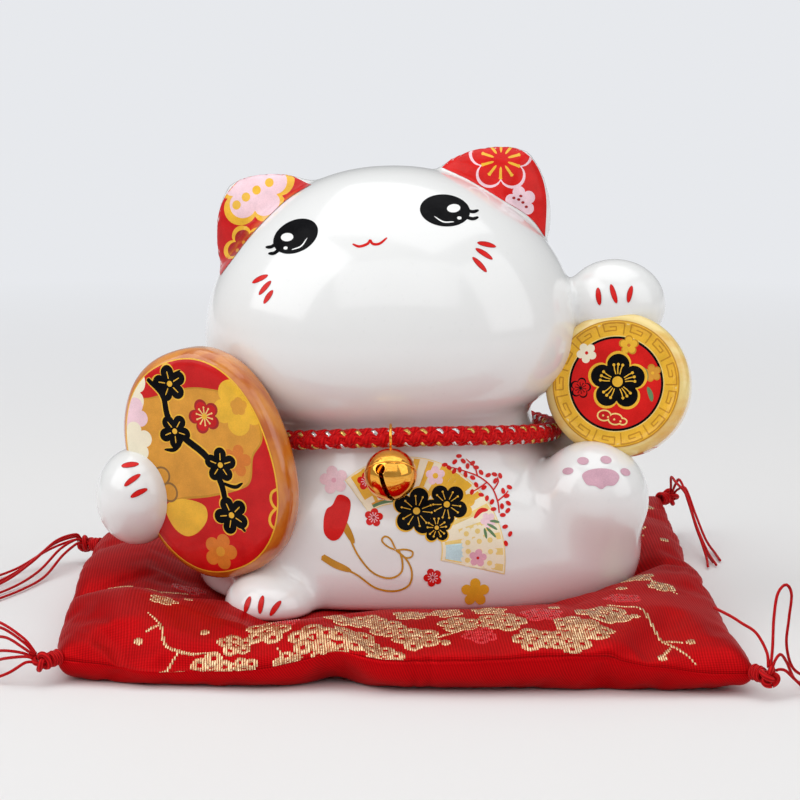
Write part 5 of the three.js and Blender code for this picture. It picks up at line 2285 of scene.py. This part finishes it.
@dataclass(frozen=True)
class Cushion:
    """The stuffed square cushion: brocade above, satin below, sewn together round the edge.

    Attributes:
        corners: The seam's corners, from the front left one anticlockwise seen from above.
        pull: How far the seam's sides draw in between the corners, as a share, front, right, back, left.
        crest: How much higher the seam's sides are at their middles.
        cells: How many cells of cloth go across and along each panel.
        front_wave: The front seam's share along and its rise and its push outwards there.
        size: Its usual width and depth.
        table: The least height of the cloth.
        fabric: The cloth's thickness.
        pressure: The stuffing's pressure in the simulation.
        cap: The most that a point moves in it.
    """

    corners: tuple[Triple, ...] = ((-91.5, -85, 6.5), (93, -98, 6), (86, 93, 12), (-95, 52, 6))
    pull: tuple[float, ...] = (-0.06, 0.05, 0.05, 0.0)
    crest: float = 3.5
    cells: tuple[int, int] = (92, 76)
    front_wave: tuple[Triple, ...] = (
        (0.0, 0, 0), (0.05, -0.8, 0.6), (0.16, -3.4, 1.6), (0.3, -3.2, 0.8), (0.36, -1.2, -0.6),
        (0.41, 1.2, -3.4), (0.46, 0.2, 0.4), (0.51, 0.0, 0.8), (0.62, 1.0, 0.4), (0.72, 2.6, 0.2),
        (0.77, 2.4, -0.6), (0.83, 0.8, 0.2), (0.92, -0.6, 0.4), (1.0, 0, 0),
    )
    size: tuple[float, float] = (184, 166)
    table: float = 0.05
    fabric: float = 0.5
    pressure: float = 4.0
    cap: float = 5.0

    def seam(self, side: int, share: Points) -> Points:
        """Points of the seam along one side, anticlockwise."""
        start, end = (np.array(self.corners[k % 4]) for k in (side, side + 1))
        bow = 4 * share * (1 - share)
        line = start + share[:, None] * (end - start)
        line[:, :2] *= (1 - self.pull[side] * bow)[:, None]
        line[:, 2] += self.crest * bow
        wobble = np.sin(share * 19 + side * 2) * bow
        if side == 0:
            table = np.array(self.front_wave)
            rise, push = (np.interp(share, table[:, 0], table[:, k]) for k in (1, 2))
            smooth = np.array([0.25, 0.5, 0.25])
            for _ in range(3):
                rise[1:-1] = np.convolve(rise, smooth, "valid")
                push[1:-1] = np.convolve(push, smooth, "valid")
            line[:, 2] += rise
            line[:, 1] -= push
        else:
            line[:, 2] += 0.9 * wobble
        return line

    def shares(self) -> tuple[Points, Points]:
        """The places of the cloth's cells, closer together towards the seam."""
        spaced = []
        for count, even in zip(self.cells, (0.8, 0.5)):
            t = np.linspace(0, 1, count + 1)
            spaced.append(even * t + (1 - even) * (0.5 - 0.5 * np.cos(math.pi * t)))
        return spaced[0], spaced[1]

    def flat(self) -> Points:
        """The grid of points between the four sides of the seam."""
        u, v = self.shares()
        front, back = self.seam(0, u), self.seam(2, 1 - u)
        right, left = self.seam(1, v), self.seam(3, 1 - v)
        a, b = u[None, :, None], v[:, None, None]
        sides = (1 - b) * front[None] + b * back[None] + (1 - a) * left[:, None] + a * right[:, None]
        low = (1 - a) * front[0] + a * front[-1]
        high = (1 - a) * back[0] + a * back[-1]
        return sides - (1 - b) * low - b * high

    def to_seam(self) -> Points:
        """How far each point of the grid is from the seam, roughly."""
        u, v = self.shares()
        width, depth = self.size
        across = np.minimum(u, 1 - u)[None, :] * width
        along = np.minimum(v, 1 - v)[:, None] * depth
        return np.minimum(across, along)

    def drape(self, panel: BVHTree, grid: Points, far: Points) -> Points:
        """Lays the upper cloth over the stuffing.

        Args:
            panel: The part's own upper panel.
            grid: The cloth's points, level with the seam.
            far: How far each is from the seam.

        Returns:
            The points at their heights.
        """
        laid = grid.copy()
        rows, columns = grid.shape[:2]
        for i in range(1, rows - 1):
            for j in range(1, columns - 1):
                hit, _, _, _ = panel.ray_cast(Vector((*grid[i, j, :2], 60)), Vector((0, 0, -1)))
                base = hit.z if hit is not None else grid[i, j, 2]
                settle = math.exp(-far[i, j] / 9)
                laid[i, j, 2] = base + settle * (grid[i, j, 2] - self.level(grid[i, j]))
        for _ in range(6):
            middle = laid[1:-1, 1:-1, 2]
            around = (laid[:-2, 1:-1, 2] + laid[2:, 1:-1, 2] + laid[1:-1, :-2, 2] + laid[1:-1, 2:, 2]) / 4
            laid[1:-1, 1:-1, 2] = 0.5 * middle + 0.5 * around
        return laid

    @staticmethod
    def level(point: Points) -> float:
        """The usual height of the seam near a point."""
        share = np.clip((point[0] + 92) / 184, 0, 1)
        depth = np.clip((point[1] + 98) / 190, 0, 1)
        return float(
            6
            + 3.5 * 4 * max(share * (1 - share) * (1 - depth), 0)
            + 3 * depth * share
            + 3.5 * depth * 4 * share * (1 - share)
        )

    def shape(self) -> tuple[bpy.types.Object, Points]:
        """The closed skin before the stuffing pushes it out, and how far each point is from the seam."""
        panel = surface_of(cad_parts["cushion_top_panel"])
        grid = self.flat()
        far = self.to_seam()
        upper = self.drape(panel, grid, far)
        lower = grid.copy()
        round_off = np.clip(1 - far / 9.5, 0, 1)
        lower[:, :, 2] = np.maximum(grid[:, :, 2], 0.3) * (1 - np.sqrt(1 - round_off ** 2))
        lower[:, :, 2] += self.lifted(grid, far)
        rows, columns = far.shape
        index = np.arange(rows * columns).reshape(rows, columns)
        inside = np.ones_like(far, bool)
        inside[[0, -1]] = False
        inside[:, [0, -1]] = False
        below = index.copy()
        below[inside] = rows * columns + np.arange(inside.sum())
        points = np.vstack([upper.reshape(-1, 3), lower[inside]])
        faces = []
        for layer, flip in ((index, False), (below, True)):
            quads = np.stack(
                [layer[:-1, :-1], layer[:-1, 1:], layer[1:, 1:], layer[1:, :-1]], axis=-1,
            ).reshape(-1, 4)
            faces += (quads[:, ::-1] if flip else quads).tolist()
        return piece_from("cushion_skin", points, faces), np.concatenate([far.ravel(), far[inside]])

    @staticmethod
    def lifted(grid: Points, far: Points) -> Points:
        """Where the underside leaves the table: a short fold in front."""
        fold = np.exp(-(((grid[:, :, 0] + 17) / 7) ** 2)) * np.exp(-(far / 16) ** 2) * (grid[:, :, 1] < -60)
        return 2.6 * fold

    def stuff(self, skin: bpy.types.Object, far: Points) -> Points:
        """Lets the stuffing push the skin out, and gives where its points come to rest."""
        start = points_of(skin)
        count = (self.cells[0] + 1) * (self.cells[1] + 1)
        above = np.arange(len(start)) < count
        held = np.zeros(len(start))
        held[above] = self.pressed(start[above])
        held[~above] = np.clip((far[~above] - 10) / 5, 0, 1)
        corner = np.min(
            [np.linalg.norm(start[:, :2] - np.array(c[:2]), axis=1) for c in self.corners], axis=0,
        )
        held = np.maximum(held, np.clip(1 - corner / 9, 0, 1))
        held = np.maximum(held, np.where(far < 0.1, 0.35, 0))
        group = skin.vertex_groups.new(name="held")
        for i, weight in enumerate(held):
            if weight > 0.01:
                group.add([i], float(weight), "REPLACE")
        activate(skin)
        cloth = skin.modifiers.new("cloth", "CLOTH")
        cloth.settings.vertex_group_mass = "held"
        cloth.settings.use_pressure = True
        cloth.settings.uniform_pressure_force = self.pressure
        cloth.settings.effector_weights.gravity = 0
        cloth.settings.quality = 5
        cloth.settings.shrink_min = -0.015
        cloth.settings.bending_stiffness = 0.4
        cloth.point_cache.frame_start, cloth.point_cache.frame_end = 1, 20
        scene = bpy.context.scene
        for step in range(1, 21):
            scene.frame_set(step)
        seen = skin.evaluated_get(bpy.context.evaluated_depsgraph_get())
        end = np.array([vertex.co for vertex in seen.data.vertices]) / MM
        skin.modifiers.remove(cloth)
        scene.frame_set(1)
        moved = end - start
        length = np.linalg.norm(moved, axis=1) + 1e-9
        log.info("the stuffing moves the cushion's skin by up to %.1f mm", length.max())
        return self.sink(start + moved * np.minimum(1, self.cap / length)[:, None], above)

    @staticmethod
    def sink(points: Points, above: np.ndarray) -> Points:
        """Lets the top down in front of the cat and its foot, and gathers the left side into two lobes."""
        x, y = points[:, 0], points[:, 1]

        def spot(cx: float, cy: float, rx: float, ry: float) -> Points:
            """A soft bump about (cx, cy) that fades over rx across and ry along."""
            return np.exp(-(((x - cx) / rx) ** 2) - ((y - cy) / ry) ** 2)

        drop = 2.4 * spot(-38, -57, 20, 15) + 1.5 * spot(6, -60, 34, 15)
        lobes = 2.6 * spot(-75, -58, 17, 13) - 3.4 * spot(-80, -32, 24, 9) + 1.6 * spot(-78, 4, 16, 18)
        moved = points.copy()
        moved[:, 2] += np.where(above, lobes - drop, 0) * np.clip((points[:, 2] - 6) / 5, 0, 1)
        return moved

    @staticmethod
    def pressed(points: Points) -> Points:
        """How firmly the cat's weight holds each point of the upper cloth, from 0 to 1."""
        x = (points[:, 0] - 2.5) / 56
        y = (points[:, 1] - 3) / 42
        reach = (np.abs(x) ** 2.7 + np.abs(y) ** 2.7) ** (1 / 2.7)
        return np.clip((1.06 - reach) / 0.12, 0, 1)

    @staticmethod
    def clear_of(cat: BVHTree, points: Points, gap: float) -> Points:
        """Points moved out to stay clear of the cat.

        Args:
            cat: The cat's surface.
            points: Points of the cushion's skin.
            gap: The least distance to leave.

        Returns:
            The points in their new places.
        """
        moved = points.copy()
        for i, point in enumerate(points):
            if point[2] < 6.5:
                continue
            found, normal, _, distance = cat.find_nearest(Vector(point), 14)
            if found is None:
                continue
            outside = (Vector(point) - found).dot(normal) > 0
            if outside and distance >= gap:
                continue
            target = found + normal * gap
            if not outside and normal.z < -0.4:
                target = Vector((point[0], point[1], min(point[2], found.z - gap)))
            moved[i] = target
        return moved

    def pucker(self, points: Points, far: Points) -> Points:
        """Draws the cloth in a little at stitches along the seam, and at the tucks in front."""
        moved = points.copy()
        middle = points.mean(axis=0)
        for i, (point, near) in enumerate(zip(points, far)):
            if near > 16:
                continue
            out = Vector((point[0] - middle[0], point[1] - middle[1], 0)).normalized()
            ripple = noise.noise(Vector((point[0] / 4.2, point[1] / 4.2, 3.1))) * 0.5 * math.exp(-near / 4.5)
            slow = noise.noise(Vector((point[0] / 13, point[1] / 13, point[2] / 16)))
            shift = out * (ripple + slow * 1.1 * math.exp(-near / 9))
            if point[1] < -70:
                for x, deep, wide in ((3.6, 1.5, 0.9), (7.4, 0.9, 0.8), (43.5, 0.7, 1.3), (-61.5, 0.6, 1.4)):
                    shift.y += deep * math.exp(-(((point[0] - x) / wide) ** 2)) * math.exp(-near / 9)
            moved[i] += np.array(shift)
        moved[:, 2] = np.maximum(moved[:, 2], self.table)
        return moved

    def build(self, cat: BVHTree) -> list[bpy.types.Object]:
        """Sews, stuffs and finishes the cushion, clear of the cat that sits on it."""
        skin, far = self.shape()
        points = self.stuff(skin, far)
        points[:, 2] = np.maximum(points[:, 2], self.table)
        move_points(skin, self.clear_of(cat, points, 0.4))
        store(skin, "far", far)
        columns, rows = self.cells[0] + 1, self.cells[1] + 1
        points = points_of(skin)
        grid = points[: rows * columns].reshape(rows, columns, 3)
        steps = np.linalg.norm(np.diff(grid, axis=0), axis=2)
        along = np.concatenate([np.zeros((1, columns)), np.cumsum(steps, axis=0)])
        across = np.broadcast_to(grid[0, :, 0], along.shape)
        inside = np.zeros((rows, columns), bool)
        inside[1:-1, 1:-1] = True
        store(skin, "across", np.concatenate([across.ravel(), across[inside]]))
        store(skin, "along", np.concatenate([along.ravel(), -along[inside]]))
        apply_modifier(skin, "SUBSURF", levels=1)
        far = np.empty(len(skin.data.vertices), np.float32)
        skin.data.attributes["far"].data.foreach_get("value", far)
        move_points(skin, self.pucker(points_of(skin), far))
        upper_faces = 4 * self.cells[0] * self.cells[1]
        upper = self.panel(skin, "cushion_brocade_top", range(upper_faces), RED_BROCADE)
        lower = self.panel(skin, "cushion_satin_underside", range(upper_faces, 2 * upper_faces), RED_SATIN)
        wadding = self.wadding(skin)
        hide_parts("cushion_top_panel")
        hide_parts("cushion_bottom_panel")
        figures = Brocade().weave(Weaving(grid, surface_of(upper)))
        return [upper, lower, wadding, *figures]

    def panel(self, skin: bpy.types.Object, name: str, faces: range, cloth: Satin) -> bpy.types.Object:
        """One panel of the skin, as cloth of its own thickness.

        Args:
            skin: The closed skin.
            name: The panel's name.
            faces: The faces of the skin that it takes.
            cloth: What it is made of.

        Returns:
            The finished piece.
        """
        piece = skin.copy()
        piece.data = skin.data.copy()
        bpy.context.scene.collection.objects.link(piece)
        named(piece, name)
        mesh = bmesh.new()
        mesh.from_mesh(piece.data)
        mesh.faces.ensure_lookup_table()
        kept = set(faces)
        bmesh.ops.delete(mesh, geom=[f for f in mesh.faces if f.index not in kept], context="FACES")
        mesh.to_mesh(piece.data)
        mesh.free()
        apply_modifier(piece, "SOLIDIFY", thickness=self.fabric * MM, offset=-1)
        piece.data.shade_smooth()
        piece.data.materials.clear()
        piece.data.materials.append(cloth.build())
        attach(piece, "cushion")
        return piece

    def wadding(self, skin: bpy.types.Object) -> bpy.types.Object:
        """The stuffing inside, just smaller than the skin."""
        normals = np.array([vertex.normal for vertex in skin.data.vertices])
        inner = points_of(skin) - 1.1 * normals
        middle = inner.mean(axis=0)
        move_points(skin, middle + (inner - middle) * np.array([0.982, 0.982, 0.97]))
        skin.vertex_groups.clear()
        named(skin, "cushion_wadding")
        skin.data.shade_smooth()
        skin.data.materials.append(WADDING.build())
        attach(skin, "cushion")
        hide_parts("cushion_filling")
        return skin


# ---------------------------------------------------------------- the tassels at the cushion's corners


# Its deep colour is the painted shade in the grooves between the threads.
RED_THREAD = Yarn("tassel_thread", (0.62, 0.010, 0.013), (0.27, 0.002, 0.004), roughness=0.5, twist=1.3)


@dataclass(frozen=True)
class Tassel:
    """One corner's tassel: a knot, and twisted threads that run out of it.

    Attributes:
        name: The corner's name.
        corner: The seam's corner.
        routes: The points that each thread follows from the knot.
        diameter: A thread's thickness.
        knot: The knot's radius.
        gap: How far the knot lies outside the corner.
    """

    name: str
    corner: Triple
    routes: tuple[tuple[Triple, ...], ...]
    diameter: float = 0.82
    knot: float = 3.1
    gap: float = 0.3

    @property
    def middle(self) -> Points:
        """The knot's middle, just outside the corner."""
        out = np.array([*self.corner[:2], 0.0])
        return np.array(self.corner) + out / np.linalg.norm(out) * (self.knot + self.gap)

    def thread(self, number: int, route: tuple[Triple, ...]) -> bpy.types.Object:
        """One thread, from the knot's side along its route."""
        points = np.array(route, float)
        start = points[0] - self.middle
        root = self.middle + start / np.linalg.norm(start) * (self.knot - 0.6)
        line = smooth_line([root, *points], 12)
        line[:, 2] = np.maximum(line[:, 2], self.diameter / 2 + 0.03)
        steps = np.linalg.norm(np.diff(line, axis=0), axis=1)
        length = float(steps.sum())
        even = np.linspace(0, length, max(40, round(length / 0.9)))
        travelled = np.concatenate([[0], np.cumsum(steps)])
        line = np.column_stack([np.interp(even, travelled, line[:, k]) for k in range(3)])
        sides = 8
        piece = bundle(f"tassel_{self.name}_thread_{number}", [tube(line, self.diameter / 2, sides)])
        store(piece, "along", np.repeat(even, sides))
        store(piece, "around", np.tile(np.arange(sides) * 2 * math.pi / sides, len(line)))
        piece.data.shade_smooth()
        piece.data.materials.append(yarn_material(RED_THREAD))
        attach(piece, "cushion")
        if number == 1:
            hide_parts(f"tassel_{self.name}")
        return piece

    def wound(self) -> bpy.types.Object:
        """The knot: a thread passed three times round through itself, over a whipping at the corner."""
        count, sides = 160, (10, 8, 8, 8, 8)
        angle = np.linspace(0, 2 * math.pi, count, endpoint=False)
        swing = self.knot * (0.5 + 0.22 * np.cos(3 * angle))
        trefoil = np.column_stack(
            [swing * np.cos(2 * angle), swing * np.sin(2 * angle), 0.42 * self.knot * np.sin(3 * angle)]
        )
        out = math.atan2(self.corner[1], self.corner[0])
        tilt = turning((0, 62, math.degrees(out)))
        tubes = [tube(trefoil @ tilt.T + self.middle, 0.78, sides[0], closed=True)]
        way = np.array([math.cos(out), math.sin(out), 0])
        side = np.array([-way[1], way[0], 0])
        for k in range(4):
            hoop = 1.7 + 0.15 * (k % 2)
            ring = hoop * (np.cos(angle)[:, None] * side + np.sin(angle)[:, None] * np.array([0, 0, 0.92]))
            place = self.middle - way * (2.6 + 0.8 * k) + np.array([0, 0, 0.1 * k])
            tubes.append(tube(ring + place, 0.5, sides[k + 1], closed=True))
        piece = bundle(f"tassel_{self.name}_knot", tubes)
        steps = (0.11, 0.07, 0.07, 0.07, 0.07)
        lengths = [np.repeat(np.arange(count) * step, n) for step, n in zip(steps, sides)]
        store(piece, "along", np.concatenate(lengths))
        rounds = [np.tile(np.arange(n) * 2 * math.pi / n, count) for n in sides]
        store(piece, "around", np.concatenate(rounds))
        points = points_of(piece)
        points[:, 2] = np.maximum(points[:, 2], 0.1)
        move_points(piece, points)
        piece.data.shade_smooth()
        piece.data.materials.append(yarn_material(RED_THREAD))
        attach(piece, "cushion")
        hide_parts(f"tassel_knot_{self.name}")
        return piece

    def build(self) -> list[bpy.types.Object]:
        """Makes the threads and the knot."""
        return [*(self.thread(k, route) for k, route in enumerate(self.routes, 1)), self.wound()]


def yarn_material(yarn: Yarn) -> bpy.types.Material:
    """A yarn's material, made once."""
    return bpy.data.materials.get(yarn.name) or yarn.build()


TASSELS = (
    Tassel("front_left", (-91.5, -85, 6.5), (
        (
            (-99, -86, 12.5), (-107, -79, 15.2), (-115, -68, 11.5), (-124, -55, 5.2), (-134, -43, 2.6),
            (-143, -33, 1.6),
        ),
        (
            (-99, -85.5, 11.2), (-106, -78, 13.2), (-113, -66, 9.6), (-121, -51, 3.6), (-130, -38, 1.6),
            (-138, -27, 0.9),
        ),
        (
            (-99.5, -84.5, 9.6), (-105, -78, 10.6), (-112, -68, 7.6), (-120, -56, 2.6), (-132, -47, 0.9),
            (-143, -40, 0.8),
        ),
        (
            (-99.5, -85, 8.2), (-105.5, -80.5, 7.6), (-112, -72, 4.4), (-119, -62, 1.8), (-130, -54, 0.8),
            (-142, -49, 0.8),
        ),
        (
            (-98.5, -86.5, 7.6), (-104.5, -82.5, 6.0), (-111, -75, 2.8), (-117, -66, 1.0), (-123, -55, 0.8),
            (-133, -32, 0.8),
        ),
        (
            (-98.5, -87.5, 6.2), (-103, -86.5, 3.2), (-108, -85, 1.2), (-114, -84.5, 0.8), (-121, -86, 0.8),
            (-129, -86, 0.8),
        ),
    )),
    Tassel("front_right", (93, -98, 6), (
        (
            (96.5, -96.6, 12.5), (97.0, -94.2, 20), (98.2, -91.6, 25.8), (100.6, -89.6, 27.8),
            (102.2, -88.8, 25), (101.8, -88.2, 18.6), (101.4, -87.6, 11), (103.6, -86.2, 4.2),
            (109, -82.5, 0.9), (115, -79, 0.8),
        ),
        (
            (95.0, -96.8, 11.6), (92.6, -93.4, 15.8), (89.2, -90.2, 17.6), (86.8, -86, 18.4),
            (84.6, -81, 18.6), (83.6, -76, 18.2),
        ),
        (
            (97, -98.4, 9.8), (98.6, -96.8, 11), (100.6, -94.4, 8.2), (103.4, -91.6, 2.6),
            (107.6, -88.6, 0.8), (115, -88, 0.8), (121, -91, 0.8),
        ),
        (
            (97.4, -99.4, 7.6), (99.6, -98.6, 7.2), (102.6, -97, 4.2), (106, -95.6, 1.2), (111, -95.2, 0.8),
            (118, -97.4, 0.8), (124, -96, 0.8),
        ),
    )),
    Tassel("back_right", (86, 93, 12), (
        ((89, 90, 16.5), (90, 84, 20.2), (92, 76, 15.6), (94, 67, 8.6), (96.4, 57, 2.8), (98, 46, 1.0)),
        (
            (89.5, 90.5, 17.5), (90.5, 85, 19.5), (92.5, 77, 13.6), (94.5, 68, 6.4), (96.5, 58, 1.8),
            (97.5, 50, 0.9),
        ),
        (
            (90.4, 92.5, 15.2), (92.5, 88, 16.4), (95, 80.5, 9.6), (97.5, 72, 3.2), (99.5, 62, 0.9),
            (100, 53, 0.8),
        ),
        (
            (88, 91, 16.6), (87.6, 86.4, 20.6), (88.6, 80, 20), (91, 72, 17.8), (92.6, 63, 11.8),
            (95.4, 52, 2.6), (95.2, 44, 1.0),
        ),
    )),
    Tassel("back_left", (-95, 52, 6), (
        (
            (-101, 51, 9.6), (-106.4, 45, 8.8), (-112.6, 34, 4.6), (-119.4, 20, 1.8), (-128, 7, 1.4),
            (-139, -3, 1.2),
        ),
        (
            (-101.4, 52, 8.6), (-107.6, 46, 7.4), (-114.8, 34, 3.2), (-122.6, 20, 1.2), (-132, 8, 1.0),
            (-143, 0, 0.9),
        ),
        (
            (-100.6, 50, 8.2), (-105, 43, 6.6), (-110, 31, 2.6), (-116, 17, 1.0), (-124, 3, 0.8),
            (-134, -8, 0.8),
        ),
        (
            (-101.6, 53, 7.4), (-109, 49, 5.2), (-118, 38, 1.6), (-127, 26, 0.8), (-137, 15, 0.8),
            (-144, 8, 0.8),
        ),
        (
            (-100.4, 49.4, 7), (-104, 41.4, 5), (-108, 29, 1.4), (-113, 15, 0.8), (-120, 1, 0.8),
            (-129, -11, 0.8),
        ),
    )),
)


# ---------------------------------------------------------------- the studio


@dataclass(frozen=True)
class Lamp:
    """A square soft light: its place and what it points at in metres, its size and its power in watts."""

    name: str
    place: Triple
    target: Triple
    size: tuple[float, float]
    power: float

    def build(self) -> None:
        """Hangs the lamp."""
        light = bpy.data.lights.new(self.name, "AREA")
        light.shape = "RECTANGLE"
        light.size, light.size_y = self.size
        light.energy = self.power
        lamp = bpy.data.objects.new(self.name, light)
        lamp.location = self.place
        lamp.rotation_euler = (Vector(self.target) - Vector(self.place)).to_track_quat("-Z", "Y").to_euler()
        bpy.context.scene.collection.objects.link(lamp)


@dataclass(frozen=True)
class Studio:
    """A pale table before a pale backdrop, soft lamps and the camera."""

    lens: float = 126.0
    place: Triple = (0.0, -0.8, 0.201)
    floor: Colour = (0.80, 0.79, 0.785)
    wall: Colour = (0.80, 0.815, 0.845)
    world: Colour = (0.96, 0.98, 1.0)
    world_strength: float = 0.42
    lamps: tuple[Lamp, ...] = (
        Lamp("window_lamp", (-1.0, -0.45, 0.95), (0, 0, 0.06), (1.2, 1.2), 8.6),
        Lamp("side_lamp", (1.1, -0.5, 0.7), (0, 0, 0.06), (0.9, 1.1), 3.5),
        Lamp("top_lamp", (0.05, 0.1, 1.3), (0, 0, 0.05), (1.4, 1.2), 6.8),
        Lamp("front_lamp", (0.1, -1.7, 1.5), (0, 0, 0.06), (2.2, 1.2), 6.8),
    )

    def build(self) -> None:
        """Sets the whole studio up."""
        self.add_camera()
        self.add_floor()
        self.add_world()
        for lamp in self.lamps:
            lamp.build()
        bpy.context.scene.view_settings.view_transform = "Standard"

    def add_camera(self) -> None:
        """Sets the camera at the height and tilt of someone sitting at the table."""
        data = bpy.data.cameras.new("camera")
        data.lens, data.sensor_width = self.lens, 36
        camera = bpy.data.objects.new("camera", data)
        camera.location = self.place
        camera.rotation_euler = (math.pi / 2 - SIGHT_DROP, 0, 0)
        bpy.context.scene.collection.objects.link(camera)
        bpy.context.scene.camera = camera

    def add_floor(self) -> None:
        """Lays a large pale floor that turns into the plain backdrop away from the object."""
        deselect()
        bpy.ops.mesh.primitive_plane_add(size=12, location=(0, 0, 0))
        floor = named(bpy.context.object, "floor")
        s = Shading("pale_table")
        s.set(Base_Color=(*self.floor, 1), Roughness=0.6, Specular_IOR_Level=0.3)
        far = s.add(
            "VectorMath", {0: s.add("TexCoord").outputs["Object"]}, operation="LENGTH",
        ).outputs["Value"]
        glow = s.add("Emission", {"Color": (*self.wall, 1), "Strength": 1.0})
        either = s.add("MixShader", {0: s.spread(far, 0.24, 0.75)})
        s.tree.links.new(s.shader.outputs[0], either.inputs[1])
        s.tree.links.new(glow.outputs[0], either.inputs[2])
        s.tree.links.new(either.outputs[0], s.tree.nodes["Material Output"].inputs["Surface"])
        floor.data.materials.append(s.material)
        floor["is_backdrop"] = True

    def add_world(self) -> None:
        """Lights the scene softly all round, with a plain pale wall behind what the camera sees."""
        world = bpy.data.worlds.new("pale_room")
        bpy.context.scene.world = world
        world.use_nodes = True
        tree = world.node_tree
        tree.nodes.clear()
        path = tree.nodes.new("ShaderNodeLightPath")
        seen = tree.nodes.new("ShaderNodeBackground")
        seen.inputs[0].default_value = (*self.wall, 1)
        light = tree.nodes.new("ShaderNodeBackground")
        light.inputs[0].default_value = (*self.world, 1)
        light.inputs[1].default_value = self.world_strength
        either = tree.nodes.new("ShaderNodeMixShader")
        output = tree.nodes.new("ShaderNodeOutputWorld")
        tree.links.new(path.outputs["Is Camera Ray"], either.inputs[0])
        tree.links.new(light.outputs[0], either.inputs[1])
        tree.links.new(seen.outputs[0], either.inputs[2])
        tree.links.new(either.outputs[0], output.inputs[0])


# ---------------------------------------------------------------- the assembly


def tell(piece: bpy.types.Object) -> None:
    """Reports a finished piece."""
    size = ", ".join(f"{side / MM:.1f}" for side in piece.dimensions)
    log.info("%s: %d faces, %s mm", piece.name, len(piece.data.polygons), size)


def write_sizes() -> None:
    """Gathers the CAD model's box and the visual model's as lists of numbers."""
    both = [[[float(x) for x in corner] for corner in box] for box in (cad_box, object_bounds())]


def main() -> None:
    """Builds the object, sub-assembly by sub-assembly, and the studio round it."""
    logging.basicConfig(level=logging.INFO, format="%(name)s %(message)s")
    Studio().build()
    for tassel in TASSELS:
        for piece in tassel.build():
            tell(piece)
    figure = CatFigure()
    skin = figure.build()
    tell(skin)
    porcelain = surface_of(skin)
    tell(FacePrint().build(porcelain))
    for ear in EAR_PRINTS:
        tell(ear.build(porcelain))
    for artwork in (PawPrint(), BellyPrint()):
        tell(artwork.build(porcelain))
    for prop in (Coin(), Koban()):
        for piece in prop.build():
            tell(piece)
    for group in (Collar(), Bell()):
        for piece in group.build():
            tell(piece)
    for piece in Cushion().build(porcelain):
        tell(piece)
    write_sizes()


if __name__ == "__main__":
    main()
